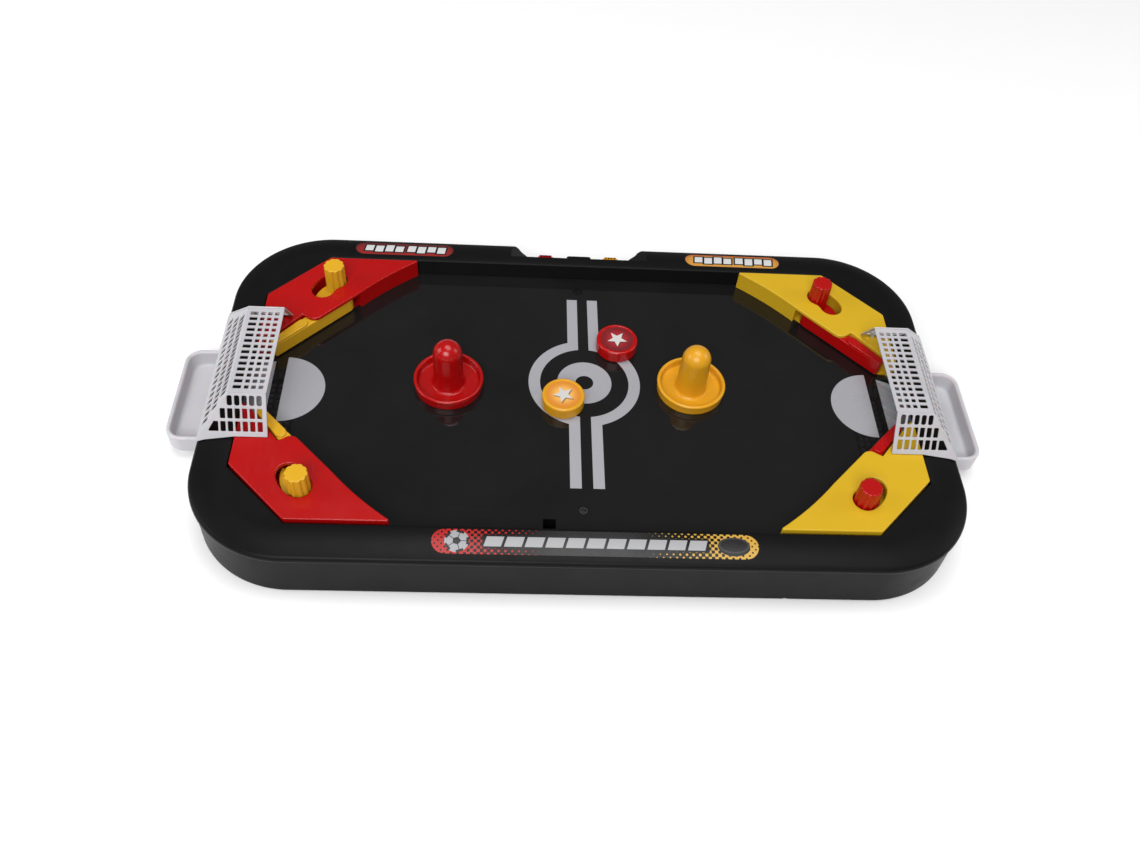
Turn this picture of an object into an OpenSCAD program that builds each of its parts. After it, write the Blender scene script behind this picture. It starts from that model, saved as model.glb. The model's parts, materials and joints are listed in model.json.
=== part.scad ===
/* [Table] */
// Length of the table over the rolled edge of its rim
table_l = 489; // [480:1:500]
// Width of the table over the rolled edge of its rim
table_w = 278; // [274:1:286]
// Radius of the rim's outer corners
corner_r = 64.5; // [62:0.5:66]
// Height of the playing surface above the ground
field_z = 28; // [27.5:0.5:30]
// Height of the walls above the playing surface
wall_h = 12.3; // [12:0.1:13]
// Wall thickness of the moulded shell
shell_t = 2.4; // [2:0.1:2.6]

/* [Field] */
// Half length of the playing recess
field_hx = 221.2; // [221:0.1:222]
// Half width of the playing recess
field_hy = 115.2; // [115:0.1:116]
// Size of the recess's cut corners
field_cut = 40.4; // [40:0.1:41]
// Thickness of the play panel
panel_t = 1.8; // [1.5:0.1:2]
// Half width of the goal ramp
ramp_hw = 24; // [22:0.5:24]
// Distance from the middle of the table to the start of the goal ramp
ramp_x = 208.5; // [208:0.5:210]

/* [Corner blocks] */
// Height of the corner blocks above the playing surface
block_h = 14; // [13.8:0.1:14.4]
// Thickness of the cover plate over each flipper
plate_t = 2.1; // [1.8:0.1:2.2]
// Swing of each flipper, in degrees
flipper_swing = 46; // [30:1:46]

/* [Goals] */
// Height of the goal nets above the playing surface
net_h = 37.3; // [36:0.1:38]
// Distance from the middle of the table to the front of each net
net_x = 199.5; // [199:0.5:201]
// Distance from the middle of the table to the outer end of each tray
tray_x = 273; // [270:0.5:274]

/* [Pushers and pucks] */
// Radius of the pusher's lip
pusher_r = 23.5; // [23:0.1:24]
// Height of the pusher
pusher_h = 40; // [36:0.5:44]
// Radius of the puck
puck_r = 14.4; // [14:0.1:14.8]
// Thickness of the puck
puck_t = 9.5; // [8.5:0.5:10]

/* [Hidden] */
$fn = 64;

red = "firebrick";
yellow = "gold";
black = [0.1, 0.1, 0.1];
white = "whitesmoke";
eps = 0.01;

// Heights
skirt_z = 1;                       // lower edge of the skirt
cover_z = 2.5;                     // underside of the bottom cover
cover_t = 2;
cover_top = cover_z + cover_t;
panel_z = field_z - panel_t;       // underside of the play panel
ledge_t = 2;
ledge_w = 5;
rim_z = field_z + wall_h;          // rim height at its inner edge
crown_z = rim_z + 0.4;             // highest line of the rim's crown
roof_z = rim_z - 3.7;              // inner roof of the hollow rim
block_z = field_z + block_h;
plate_z = block_z - plate_t;
base_t = 1;                        // thin floor under each flipper
base_top = field_z + base_t;

// Rim profile, measured outwards from the corner circle's centre
roll_r = 3.5;                      // rolled outer edge
roll_c = [corner_r - roll_r, field_z + 7];
crown_r = corner_r - 17.5;         // where the crown is highest
lip_z = field_z + 6.4;             // lower edge of the rolled lip
skirt_in = 1.2;                    // how far the skirt stands back under the lip
skirt_draft = 0.7;
corner_cx = table_l / 2 - corner_r;
corner_cy = table_w / 2 - corner_r;
roll_end = roll_c + roll_r * [cos(72), sin(72)];
crown_k = (crown_z - roll_end[1]) / pow(roll_end[0] - crown_r, 2);

function crown(r) = r < crown_r ? crown_z - 0.4 * pow((crown_r - r) / 6, 2)
                                : crown_z - crown_k * pow(r - crown_r, 2);
function clamp_crown(r) = r < crown_r - 6 ? rim_z : crown(r);
crown_line = [for (r = [roll_end[0] : -2.5 : crown_r - 6]) [r, clamp_crown(r)]];
roll_line = [for (a = [-10 : 16.4 : 72]) roll_c + roll_r * [cos(a), sin(a)]];
function rim_profile(r_in) = concat(
  [[r_in, skirt_z], [corner_r - skirt_in + skirt_draft, skirt_z], [corner_r - skirt_in, lip_z]],
  roll_line, crown_line, [[crown_r - 6, rim_z], [r_in, rim_z]]);

// Score pocket in the middle of the back rim
pocket_y = 123.5;
pocket_z = field_z - 0.5;
pocket_top = 51.7;
pocket_bottom = 38.5;
divider_hw = 9;
track_y = 129.5;
slider_top = field_z + 7;
divider_top = field_z + 8;
track_x = [11.5, 36.5];

// Screw sizes
screw_r = 1.4;
screw_gap = 0.06;
cover_posts = [[212, 98], [70, 127]];
panel_screw_y = [101, -93.5];
panel_slot = [-26.4, -110.5];      // near left corner
tray_tab = [229.5, 31];
post_grid = [[90, 60], [90, -60], [150, 0]];

// Flipper geometry in the right back quarter; the others are mirror images.
// u runs along the flipper from its pivot, v away from the field.
pivot = [167.5, 76];
arm_turn = -45.8;
arm_l = 64.3;
hub_r = 5.4;
arm_tip_v = 0.4;
knob_r = 7.4;
knob_top = field_z + 28;
knob_turn = 62;                    // direction of the knob from the pivot at rest
knob_reach = 16;
disc_r = 22.4;                     // flat disc that carries the knob
disc_from = -14;
disc_to = 92;
disc_top = field_z + 6;
bay_r = 25.8;                      // room for the disc in the block
base_front_v = -3.2;
arm_bottom = base_top + 0.3;
arm_top = plate_z - 0.3;
pad_top = field_z + 13.2;
pad_u = 34.5;
slot_hw = 7.9;
front_v = -6.2;                    // edge of the cover plate over the flipper
bay_end_u = -8.9;
pin_r = 2;
pin_gap = 0.06;
spring_r = 3.7;
spring_wire = 0.4;
spring_z = base_top + 0.9;
spring_well_h = 3;

// Block outline corners
block_a = [220.3, 74];
block_b = [181.4, 113.7];
block_c = [117, 113.7];
block_end_y = 27.8;

function to_xy(u, v) = pivot + [u * cos(arm_turn) - v * sin(arm_turn),
                                u * sin(arm_turn) + v * cos(arm_turn)];
function back_v(u) = hub_r - (hub_r - arm_tip_v) * u / arm_l;
function polar(r, a) = r * [cos(a), sin(a)];

// Hollow curve from the block's tip to the start of the flipper bay
bay_corner = to_xy(bay_end_u, front_v);
chord = bay_corner - block_c;
chord_l = norm(chord);
sag = 1.6;
side_curve = [for (i = [0 : 8]) let (t = i / 8)
  block_c + chord * t + sag * 4 * t * (1 - t) * [-chord[1], chord[0]] / chord_l];

// Net geometry
net_t = 1.6;
net_top_hw = 36.8;
net_foot_hw = 53;
net_top_x = 223;
net_back_x = 244.6;
net_foot_z = block_z + 0.05;
net_top_z = field_z + net_h;
net_back_z = field_z + 10.6;
net_lean = (net_foot_hw - net_top_hw) / (net_top_z - net_foot_z);
net_rows = 14;

net_peg_x = [207.5, 214];
net_peg_y = 51.5;
net_peg_r = 1.1;

// Trays
tray_in_x = 236;
tray_hw = 39.5;
tray_top = field_z - 8;
tray_bottom = 6;
tray_t = 3;
tray_floor = 2;
tray_r = 11;
ramp_end_z = 10.4;

module quarter(sx, sy) {
  mirror([sx < 0 ? 1 : 0, 0, 0]) mirror([0, sy < 0 ? 1 : 0, 0]) children();
}

module octagon(grow = 0) {
  hx = field_hx + grow;
  hy = field_hy + grow;
  c = field_cut + grow * (2 - sqrt(2));
  polygon([[hx, hy - c], [hx - c, hy], [c - hx, hy], [-hx, hy - c],
           [-hx, c - hy], [c - hx, -hy], [hx - c, -hy], [hx, c - hy]]);
}

module rounded(hx, hy, r) {
  square([2 * hx, 2 * (hy - r)], center = true);
  square([2 * (hx - r), 2 * hy], center = true);
  for (sx = [-1, 1], sy = [-1, 1])
    translate([sx * (hx - r), sy * (hy - r)]) circle(r);
}

module slab(z0, z1) {
  translate([0, 0, z0]) linear_extrude(z1 - z0) children();
}

module drum(x, y, z0, z1, r) {
  translate([x, y, z0]) cylinder(h = z1 - z0, r = r);
}

// ---- Table body ----

module rim_blank() {
  side = corner_r - 20;
  for (sx = [-1, 1], sy = [-1, 1]) quarter(sx, sy)
    translate([corner_cx, corner_cy, 0]) rotate_extrude(angle = 90) polygon(rim_profile(0));
  for (s = [0, 1]) mirror([0, s, 0])
    translate([-corner_cx, corner_cy, 0]) rotate([90, 0, 90])
      linear_extrude(2 * corner_cx) polygon(rim_profile(20));
  for (s = [0, 1]) mirror([s, 0, 0])
    translate([corner_cx, corner_cy, 0]) rotate([90, 0, 0])
      linear_extrude(2 * corner_cy) polygon(rim_profile(20));
}

module pocket_shape(grow) {
  translate([0, 200, 0]) rotate([90, 0, 0])
    linear_extrude(200 - pocket_y + grow) polygon([
      [-pocket_bottom - grow, pocket_z - grow], [pocket_bottom + grow, pocket_z - grow],
      [pocket_top + grow, rim_z + 0.2], [pocket_top + grow, rim_z + 5],
      [-pocket_top - grow, rim_z + 5], [-pocket_top - grow, rim_z + 0.2]]);
}

module shell_hollow() {
  hx = table_l / 2 - skirt_in - shell_t;
  hy = table_w / 2 - skirt_in - shell_t;
  r = corner_r - skirt_in - shell_t;
  slab(skirt_z - 1, panel_z - ledge_t) rounded(hx, hy, r);
  slab(panel_z - ledge_t - eps, roof_z) difference() {
    rounded(hx, hy, r);
    octagon(shell_t);
  }
}

module goal_openings() {
  for (s = [0, 1]) mirror([s, 0, 0]) {
    // mouth through the end wall of the field
    translate([ramp_x - 10, -ramp_hw - 0.4, tray_bottom])
      cube([field_hx - ramp_x + 10 + shell_t + 1, 2 * ramp_hw + 0.8, field_z + 10.3 - tray_bottom]);
    // opening in the skirt for the tray
    translate([table_l / 2 - 8, -tray_hw - 0.4, tray_bottom - 0.4])
      cube([12, 2 * tray_hw + 0.8, tray_top - tray_bottom + 0.8]);
  }
}

module rim_moulding() difference() {
  rim_blank();
  difference() {
    shell_hollow();
    pocket_shape(2);
    for (sx = [-1, 1], sy = [-1, 1], p = cover_posts)
      drum(sx * p[0], sy * p[1], cover_top, roof_z + 1, 4);
  }
  slab(panel_z, crown_z + 2) octagon();
  slab(panel_z - ledge_t - 1, panel_z + eps) octagon(-ledge_w);
  pocket_shape(0);
  goal_openings();
  for (sx = [-1, 1], sy = [-1, 1], p = cover_posts)
    drum(sx * p[0], sy * p[1], cover_top - 1, cover_top + 14, screw_r + screw_gap);
  for (s = [-1, 1]) {
    translate([s > 0 ? track_x[0] : -track_x[1], track_y - 1.6, pocket_z - 5])
      cube([track_x[1] - track_x[0], 3.2, 6]);
  }
  // small moulding notch in the front skirt's lower edge
  translate([124.5, -table_w / 2, 0]) cube([2.6, 5, skirt_z + 1.1]);
}

// The divider between the two score sliders is part of the pocket's floor
module score_divider() {
  divider_d = 8.3;
  translate([0, pocket_y + divider_d - 1, 0]) rotate([90, 0, 0]) linear_extrude(divider_d)
    polygon([[-divider_hw, pocket_z - 1], [divider_hw, pocket_z - 1], [divider_hw, divider_top - 1],
             [divider_hw - 1, divider_top], [1 - divider_hw, divider_top], [-divider_hw, divider_top - 1]]);
}

module upper_shell() color(black) {
  rim_moulding();
  score_divider();
}

module play_panel() color(black) difference() {
  slab(panel_z, field_z) octagon(-0.3);
  for (s = [0, 1]) mirror([s, 0, 0])
    translate([ramp_x, -ramp_hw - 0.4, panel_z - 1]) cube([30, 2 * ramp_hw + 0.8, 5]);
  for (y = panel_screw_y) {
    drum(-1, y, panel_z - 1, field_z + 1, screw_r + screw_gap);
    drum(-1, y, field_z - 1.1, field_z + 1, 3.4);
  }
  for (sx = [-1, 1], sy = [-1, 1]) quarter(sx, sy) for (p = block_screw_xy())
    drum(p[0], p[1], panel_z - 1, field_z + 1, screw_r + screw_gap);
  // small rectangular slot at the front edge, where the panel is levered out
  translate([panel_slot[0], panel_slot[1], panel_z - 1]) cube([8, 10, 5]);
}

module bottom_cover() color([0.13, 0.13, 0.13]) difference() {
  inset = skirt_in + shell_t + 0.3;
  union() {
    slab(cover_z, cover_top)
      rounded(table_l / 2 - inset, table_w / 2 - inset, corner_r - inset);
    for (y = panel_screw_y) drum(-1, y, cover_top - eps, panel_z, 4);
    for (s = [-1, 1], p = post_grid) drum(s * p[0], p[1], cover_top - eps, panel_z, 3.5);
    // lengthwise ribs that carry the posts
    for (y = [-60, 60]) translate([-150, y - 1, cover_top - eps]) cube([300, 2, 5]);
  }
  for (y = panel_screw_y) drum(-1, y, cover_z - 1, panel_z + 1, screw_r + screw_gap);
  for (sx = [-1, 1], sy = [-1, 1]) quarter(sx, sy) {
    for (p = cover_posts) drum(p[0], p[1], cover_z - 1, cover_top + 1, screw_r + screw_gap);
    drum(tray_tab[0], tray_tab[1], cover_z - 1, cover_top + 1, screw_r + screw_gap);
  }
}

module rubber_feet() color([0.2, 0.2, 0.2])
  for (sx = [-1, 1], sy = [-1, 1]) difference() {
    drum(sx * 185, sy * 92, 0, cover_z, 9);
    drum(sx * 185, sy * 92, -1, 1, 5);
  }

// ---- Fasteners ----

module pan_screw(length) {
  cylinder(h = length, r = screw_r);
  difference() {
    translate([0, 0, -1.6]) cylinder(h = 1.6, r = 2.9);
    for (a = [0, 90]) rotate(a) translate([-1.8, -0.3, -2.6]) cube([3.6, 0.6, 2]);
  }
}

module cover_screws() color("silver")
  for (sx = [-1, 1], sy = [-1, 1], p = cover_posts)
    translate([sx * p[0], sy * p[1], cover_z]) pan_screw(13);

module panel_screws() color([0.2, 0.2, 0.2]) for (y = panel_screw_y)
  translate([-1, y, field_z - 1.1]) rotate([180, 0, 0]) difference() {
    union() {
      cylinder(h = 16, r = screw_r);
      translate([0, 0, -0.9]) cylinder(h = 0.9, r = 3);
    }
    for (a = [0, 90]) rotate(a) translate([-1.7, -0.3, -1.9]) cube([3.4, 0.6, 1.5]);
  }

function block_screw_xy() = [[152, 103], [207, 66]];

module block_screws() color("silver")
  for (sx = [-1, 1], sy = [-1, 1]) quarter(sx, sy) for (p = block_screw_xy())
    translate([p[0], p[1], panel_z]) pan_screw(9);

module tray_screws() color("silver")
  for (sx = [-1, 1], sy = [-1, 1]) quarter(sx, sy)
    translate([tray_tab[0], tray_tab[1], cover_z]) pan_screw(3.4);

// ---- Corner blocks and flippers ----

module block_outline() {
  polygon(concat(
    [block_a, block_b], side_curve,
    [to_xy(arm_l + 2.4, front_v + 0.6), [to_xy(arm_l + 2.4, 0)[0], block_end_y],
     [block_a[0], block_end_y]]));
}

// Floor area under the flipper
module bay_floor(grow) {
  polygon([to_xy(bay_end_u - grow, base_front_v - grow / 2), to_xy(arm_l - 2, base_front_v - grow / 2),
           [to_xy(arm_l + 0.5, 0)[0], block_end_y - grow / 2],
           [218 + grow / 2, block_end_y - grow / 2], [218 + grow / 2, 40],
           [200 + grow, 58], [197 + grow, 96 + grow], [166 - grow, 104 + grow],
           to_xy(bay_end_u - grow, 20)]);
}

module flipper_path_2d() {
  // room for the arm at rest, the hub and the sweep of the knob's disc
  polygon([to_xy(bay_end_u, -30), to_xy(arm_l + 30, -30), to_xy(arm_l + 30, back_v(arm_l + 30) + 1),
           to_xy(0, hub_r + 1.2), to_xy(bay_end_u, hub_r + 1.2)]);
  translate(pivot) intersection() {
    circle(bay_r);
    polygon([[0, 0], polar(60, arm_turn), polar(60, 0), polar(60, 45), polar(60, 105), [-4, 0]]);
  }
}

module cover_plate_2d() {
  // plate above the flipper: straight front edge and a rounded end
  polygon(concat(
    [to_xy(bay_end_u - 10, front_v)],
    [for (a = [-90 : 15 : 0]) to_xy(26 + 6 * cos(a), front_v + 6 + 6 * sin(a))],
    [to_xy(33, back_v(33) + 1.4), to_xy(33, 60), to_xy(bay_end_u - 10, 60)]));
}

module slot_2d() translate(pivot) {
  difference() {
    intersection() {
      circle(knob_reach + slot_hw);
      polygon([[0, 0], polar(60, knob_turn - flipper_swing), polar(60, 40), polar(60, knob_turn)]);
    }
    circle(knob_reach - slot_hw);
  }
  for (a = [knob_turn - flipper_swing, knob_turn])
    translate(polar(knob_reach, a)) circle(slot_hw);
}

module block_cover(c) color(c) difference() {
  slab(field_z, block_z) block_outline();
  // flipper bay under the plate, and open to the top beyond the plate's rounded end
  slab(base_top - eps, plate_z) flipper_path_2d();
  slab(base_top - eps, block_z + 1) difference() {
    polygon([to_xy(bay_end_u + 1, -30), to_xy(arm_l + 30, -30),
             to_xy(arm_l + 30, back_v(arm_l + 30) + 1), to_xy(33, back_v(33) + 1),
             to_xy(20, back_v(20) + 1), to_xy(bay_end_u + 1, 0)]);
    cover_plate_2d();
  }
  slab(field_z - 1, base_top) bay_floor(0.12);
  slab(plate_z - 1, block_z + 1) slot_2d();
  // weight-saving hollow in the wedge
  slab(field_z - 1, plate_z) polygon([[133, 111], [146.5, 98.5], [146.5, 111]]);
  for (p = block_screw_xy()) drum(p[0], p[1], field_z - 1, field_z + 9, screw_r + screw_gap);
  for (x = net_peg_x) drum(x, net_peg_y, block_z - 3, block_z + 1, net_peg_r + 0.05);
}

module block_base(c) color(c) difference() {
  slab(field_z, base_top) bay_floor(0);
  drum(pivot[0], pivot[1], field_z - 1, base_top + 1, pin_r + 0.02);
}

module fluted(r) difference() {
  circle(r);
  for (i = [0 : 9]) rotate(36 * i + 18) translate([r + 1.2, 0]) circle(1.8);
}

// Flat disc under the plate, cut to the sector that keeps the slot covered
module hub_disc_2d() translate(pivot) intersection() {
  circle(disc_r);
  polygon([[0, 0], polar(60, disc_from), polar(60, 20), polar(60, 55), polar(60, disc_to)]);
}

// Arm outline: a round hub, then straight edges that taper towards the tip
module arm_2d(inset, from_u) {
  start = from_u > 0 ? [to_xy(from_u, back_v(from_u) - inset),
                        to_xy(from_u - 2.6, -1.4), to_xy(from_u, inset - hub_r)]
                     : [for (a = [90 : 10 : 270]) to_xy(hub_r * cos(a), hub_r * sin(a))];
  polygon(concat(start, [
    to_xy(arm_l - 1.2 - inset, inset - hub_r), to_xy(arm_l - inset, inset - hub_r + 1.2),
    to_xy(arm_l - inset, arm_tip_v - 1 - inset), to_xy(arm_l - 1 - inset, arm_tip_v - inset)]));
}

module flipper(c) color(c) difference() {
  knob = pivot + polar(knob_reach, knob_turn);
  union() {
    slab(arm_bottom, arm_top) arm_2d(0, 0);
    slab(arm_top - 2, pad_top) arm_2d(0.3, pad_u + 3);
    slab(arm_bottom + 0.3, disc_top) hub_disc_2d();
    slab(disc_top - 1, knob_top) translate(knob) fluted(knob_r);
  }
  // well for the return spring, and the bore for the pivot pin
  translate([pivot[0], pivot[1], arm_bottom - 1]) difference() {
    cylinder(h = spring_well_h + 1, r = spring_r + 1);
    translate([0, 0, -1]) cylinder(h = spring_well_h + 3, r = spring_r - 0.8);
  }
  drum(pivot[0], pivot[1], arm_bottom - 1, arm_top + 1, pin_r + pin_gap);
}

module pivot_pins() color("silver")
  for (sx = [-1, 1], sy = [-1, 1]) quarter(sx, sy)
    drum(pivot[0], pivot[1], field_z, plate_z, pin_r);

module return_springs() color("silver")
  for (sx = [-1, 1], sy = [-1, 1]) quarter(sx, sy) translate([pivot[0], pivot[1], spring_z]) {
    for (i = [0 : 2]) translate([0, 0, i * spring_wire * 1.8])
      rotate_extrude($fn = 32) translate([spring_r, 0]) circle(spring_wire, $fn = 12);
    // fixed leg that stands on the floor of the bay
    translate([spring_r, 0, base_top - spring_z])
      cylinder(h = spring_z - base_top, r = spring_wire, $fn = 12);
  }

// ---- Goals ----

// A flat panel between four 3-D corners, given as its lower left, lower right
// and upper left corners; children are drawn in the panel's own plane.
module in_plane(o, px, py) {
  ex = (px - o) / norm(px - o);
  ez = cross(ex, py - o) / norm(cross(ex, py - o));
  ey = cross(ez, ex);
  multmatrix([[ex[0], ey[0], ez[0], o[0]], [ex[1], ey[1], ez[1], o[1]],
              [ex[2], ey[2], ez[2], o[2]], [0, 0, 0, 1]]) children();
}

// Side view of the net, grown inwards by t; it is open in front and below
module net_side_view(t, low, front) {
  slope = (net_back_x - net_top_x) / (net_top_z - net_back_z);
  back_in = t * sqrt(1 + slope * slope);
  polygon([[front, net_top_z - t], [net_top_x - back_in + slope * t, net_top_z - t],
           [net_back_x - back_in + slope * low, net_back_z - low],
           [net_back_x - 6 - back_in, net_back_z + 1.3 - low], [net_top_x - 3, net_foot_z - low],
           [front, net_foot_z - low]]);
}

// Front view of the net: a trapezium that widens to its feet
module net_front_view(t) {
  side_in = t * sqrt(1 + pow(net_lean, 2));
  top = net_top_hw - side_in + net_lean * t;
  foot = net_foot_hw - side_in + net_lean * 10;
  polygon([[-foot, net_foot_z - 10], [foot, net_foot_z - 10], [top, net_top_z - t], [-top, net_top_z - t]]);
}

module net_solid(t, low, front) intersection() {
  translate([0, 100, 0]) rotate([90, 0, 0]) linear_extrude(200) net_side_view(t, low, front);
  rotate([90, 0, 90]) linear_extrude(300) net_front_view(t);
}

module net_top_slots() {
  pitch = (2 * net_top_hw - 4.8) / net_rows;
  for (j = [0 : net_rows - 1]) translate([net_x, 3.4 - net_top_hw + j * pitch, net_top_z - 3]) {
    for (i = [0 : 2]) translate([2.6 + i * 4.5, 0, 0]) cube([2.8, pitch - 2, 5]);
    translate([16.2, 0, 0]) cube([5, pitch - 2, 5]);
  }
}

module net_back_slots() {
  o = [net_back_x, -net_foot_hw - 2.4, net_back_z];
  up = [net_top_x, -net_foot_hw - 2.4, net_top_z];
  l = norm(up - o);
  w = -2 * o[1];
  lean = (w / 2 - net_top_hw) / l;
  row = (l - 5.5) / 3;
  in_plane(o, [net_back_x, -o[1], net_back_z], up) translate([0, 0, -4]) linear_extrude(8)
    for (r = [0 : 2]) {
      y0 = 3.5 + r * row;
      ins = lean * (y0 + row) + 3.5;
      for (i = [0 : 16]) translate([ins + i * (w - 2 * ins - 3.2) / 16, y0]) square([3.2, row - 2]);
    }
}

module net_side_slots() {
  foot = [net_x, net_foot_hw, net_foot_z];
  up = [net_x, net_top_hw, net_top_z];
  row = 8.4;
  slot_h = 6.6;
  in_plane(foot, [net_back_x, net_foot_hw, net_foot_z], up) translate([0, 0, -4]) linear_extrude(8)
    translate([2.7, 3.2]) {
      for (r = [0 : 2], i = [0 : r < 2 ? 5 : 4]) translate([i * 4.55, r * row]) square([3.1, slot_h]);
      polygon([[27.2, 0], [33.5, 0], [30, slot_h], [27.2, slot_h]]);
    }
}

module goal_net() color(white) {
  difference() {
    net_solid(0, 0, net_x);
    net_solid(net_t, 6, net_x - 10);
    net_top_slots();
    net_back_slots();
    for (s = [0, 1]) mirror([0, s, 0]) net_side_slots();
  }
  // pegs that press into the block's cover
  for (x = net_peg_x, s = [-1, 1]) drum(x, s * net_peg_y, block_z - 2.6, block_z + 1.2, net_peg_r);
}

// Tray outline, square where it enters the table and rounded at its outer corners
module tray_2d(inset) {
  x0 = tray_in_x + inset;
  x1 = tray_x - inset;
  w = tray_hw - inset;
  r = tray_r - inset;
  translate([x0, -w]) square([x1 - x0 - r, 2 * w]);
  translate([x0, r - w]) square([x1 - x0, 2 * (w - r)]);
  for (s = [-1, 1]) translate([x1 - r, s * (w - r)]) circle(r);
}

module goal_tray() color([0.93, 0.93, 0.95]) {
  difference() {
    slab(tray_bottom, tray_top) tray_2d(0);
    slab(tray_bottom + tray_floor, tray_top + 1) tray_2d(tray_t);
    // way in from the ramp
    translate([tray_in_x - 1, -ramp_hw + 1.6, ramp_end_z])
      cube([tray_t + 2, 2 * ramp_hw - 3.2, tray_top]);
  }
  // ramp down from the field, with side cheeks
  for (s = [-1, 1]) translate([0, s > 0 ? ramp_hw - 1.6 : -ramp_hw, 0]) rotate([90, 0, 0])
    translate([0, 0, -1.6]) linear_extrude(1.6)
      polygon([[ramp_x, field_z], [ramp_x, field_z - 2], [tray_in_x + 1, ramp_end_z - 2],
               [tray_in_x + 1, tray_top], [tray_in_x - 6, tray_top + 4], [field_hx, field_z]]);
  translate([0, ramp_hw - 1.6, 0]) rotate([90, 0, 0]) linear_extrude(2 * ramp_hw - 3.2)
    polygon([[ramp_x, field_z], [ramp_x, field_z - 1.8], [tray_in_x + 1, ramp_end_z - 2],
             [tray_in_x + 1, ramp_end_z]]);
  // raised ribs along the ramp
  for (y = [-17 : 8.5 : 17]) translate([0, y + 0.5, 0]) rotate([90, 0, 0]) linear_extrude(1)
    polygon([[ramp_x + 1.5, field_z - 0.9], [ramp_x + 2.5, field_z - 0.45],
             [tray_in_x, ramp_end_z + 1.2], [tray_in_x, ramp_end_z]]);
  // screw tabs on the bottom cover
  for (s = [-1, 1]) difference() {
    union() {
      translate([tray_tab[0] - 5, s * tray_tab[1] - 4, cover_top]) cube([14, 8, tray_bottom - cover_top + 1]);
    }
    drum(tray_tab[0], s * tray_tab[1], cover_top - 1, tray_bottom + 3, screw_r + screw_gap);
  }
}

// ---- Score sliders and labels ----

module score_slider(c, x) color(c) translate([x, track_y, 0]) {
  hw = 5.8;
  hd = 3;
  tooth_pitch = 2.3;
  foot = pocket_z + 0.3;
  difference() {
    translate([-hw, -hd, foot]) cube([2 * hw, 2 * hd, slider_top - foot]);
    for (i = [-2 : 2]) translate([i * tooth_pitch, 0, slider_top + 0.4]) rotate([90, 45, 0])
      translate([-0.6, -0.6, -6]) cube([1.2, 1.2, 12]);
  }
  translate([-3.5, -1.3, pocket_z - 2.4]) cube([7, 2.6, 3]);
  translate([-3.5, -2.8, pocket_z - 3.6]) cube([7, 5.6, 1.3]);
}

module crown_band(t) {
  band = [for (r = [crown_r - 5.5 : 1 : crown_r + 14]) r];
  rotate([90, 0, 90]) translate([corner_cy, 0, -200]) linear_extrude(400) polygon(concat(
    [for (r = band) [r, crown(r)]],
    [for (i = [len(band) - 1 : -1 : 0]) [band[i], crown(band[i]) + t]]));
}

module pill(cx, cy, l, w) {
  translate([cx, cy]) {
    square([l - w, w], center = true);
    for (s = [-1, 1]) translate([s * (l - w) / 2, 0]) circle(w / 2);
  }
}

module label(c, cx, cy, l, w) color(c) intersection() {
  crown_band(0.25);
  slab(field_z, field_z + 20) pill(cx, cy, l, w);
}

// ---- Pushers and pucks ----

module pusher(c, x, y) color(c) translate([x, y, field_z + 0.05]) rotate_extrude() {
  lip = 7.6;
  handle_r = 9.7;
  difference() {
    union() {
      square([pusher_r - 0.7, lip - 1.2]);
      translate([pusher_r - 1.5, 1.2]) square([1.1, lip - 2.4]);
      translate([pusher_r - 1.3, lip - 1.3]) circle(1.3, $fn = 32);
    }
    translate([0, 2]) square([pusher_r - 3, lip]);
    translate([0, -1]) square([pusher_r - 2.6, 1.6]);
  }
  // hollow handle with a domed top
  difference() {
    union() {
      polygon([[0, 0.6], [handle_r + 1.4, 0.6], [handle_r + 0.9, 3], [handle_r, pusher_h - handle_r],
               [0, pusher_h - handle_r]]);
      intersection() {
        translate([0, pusher_h - handle_r]) circle(handle_r);
        square([20, 80]);
      }
    }
    polygon([[0, 0], [handle_r - 0.9, 0], [handle_r - 1.9, pusher_h - handle_r],
             [0, pusher_h - handle_r + 3]]);
    translate([-30, -1]) square([30, 80]);
  }
}

module puck(c, x, y) color(c) translate([x, y, field_z + 0.05]) rotate_extrude() difference() {
  union() {
    square([puck_r - 0.9, puck_t]);
    translate([0, 0.9]) square([puck_r, puck_t - 1.8]);
    for (z = [0.9, puck_t - 0.9]) translate([puck_r - 0.9, z]) circle(0.9, $fn = 32);
  }
  translate([-1, puck_t - 0.5]) square([12.7, 1]);
  translate([-20, -1]) square([20, 20]);
}

module puck_sticker(c, x, y) color(c)
  translate([x, y, field_z + 0.05 + puck_t - 0.5]) cylinder(h = 0.3, r = 11.5);

pusher_red_at = [-90.5, 7.4];
pusher_yellow_at = [74.9, 9.3];
puck_red_at = [25.2, 45.6];
puck_yellow_at = [-13.1, -6.8];
slider_red_x = -25;
slider_yellow_x = 24;

upper_shell();
play_panel();
bottom_cover();
rubber_feet();
cover_screws();
panel_screws();
block_screws();
tray_screws();
quarter(-1, 1) block_cover(red);  // block_cover_rb
quarter(-1, -1) block_cover(red);  // block_cover_rf
quarter(1, 1) block_cover(yellow);  // block_cover_yb
quarter(1, -1) block_cover(yellow);  // block_cover_yf
quarter(-1, 1) block_base(red);  // block_base_rb
quarter(-1, -1) block_base(red);  // block_base_rf
quarter(1, 1) block_base(yellow);  // block_base_yb
quarter(1, -1) block_base(yellow);  // block_base_yf
quarter(-1, 1) flipper(yellow);  // flipper_rb
quarter(-1, -1) flipper(yellow);  // flipper_rf
quarter(1, 1) flipper(red);  // flipper_yb
quarter(1, -1) flipper(red);  // flipper_yf
pivot_pins();
return_springs();
quarter(-1, 1) goal_net();  // goal_net_left
goal_net();  // goal_net_right
quarter(-1, 1) goal_tray();  // goal_tray_left
goal_tray();  // goal_tray_right
score_slider(red, slider_red_x);  // score_slider_red
score_slider(yellow, slider_yellow_x);  // score_slider_yellow
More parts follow.
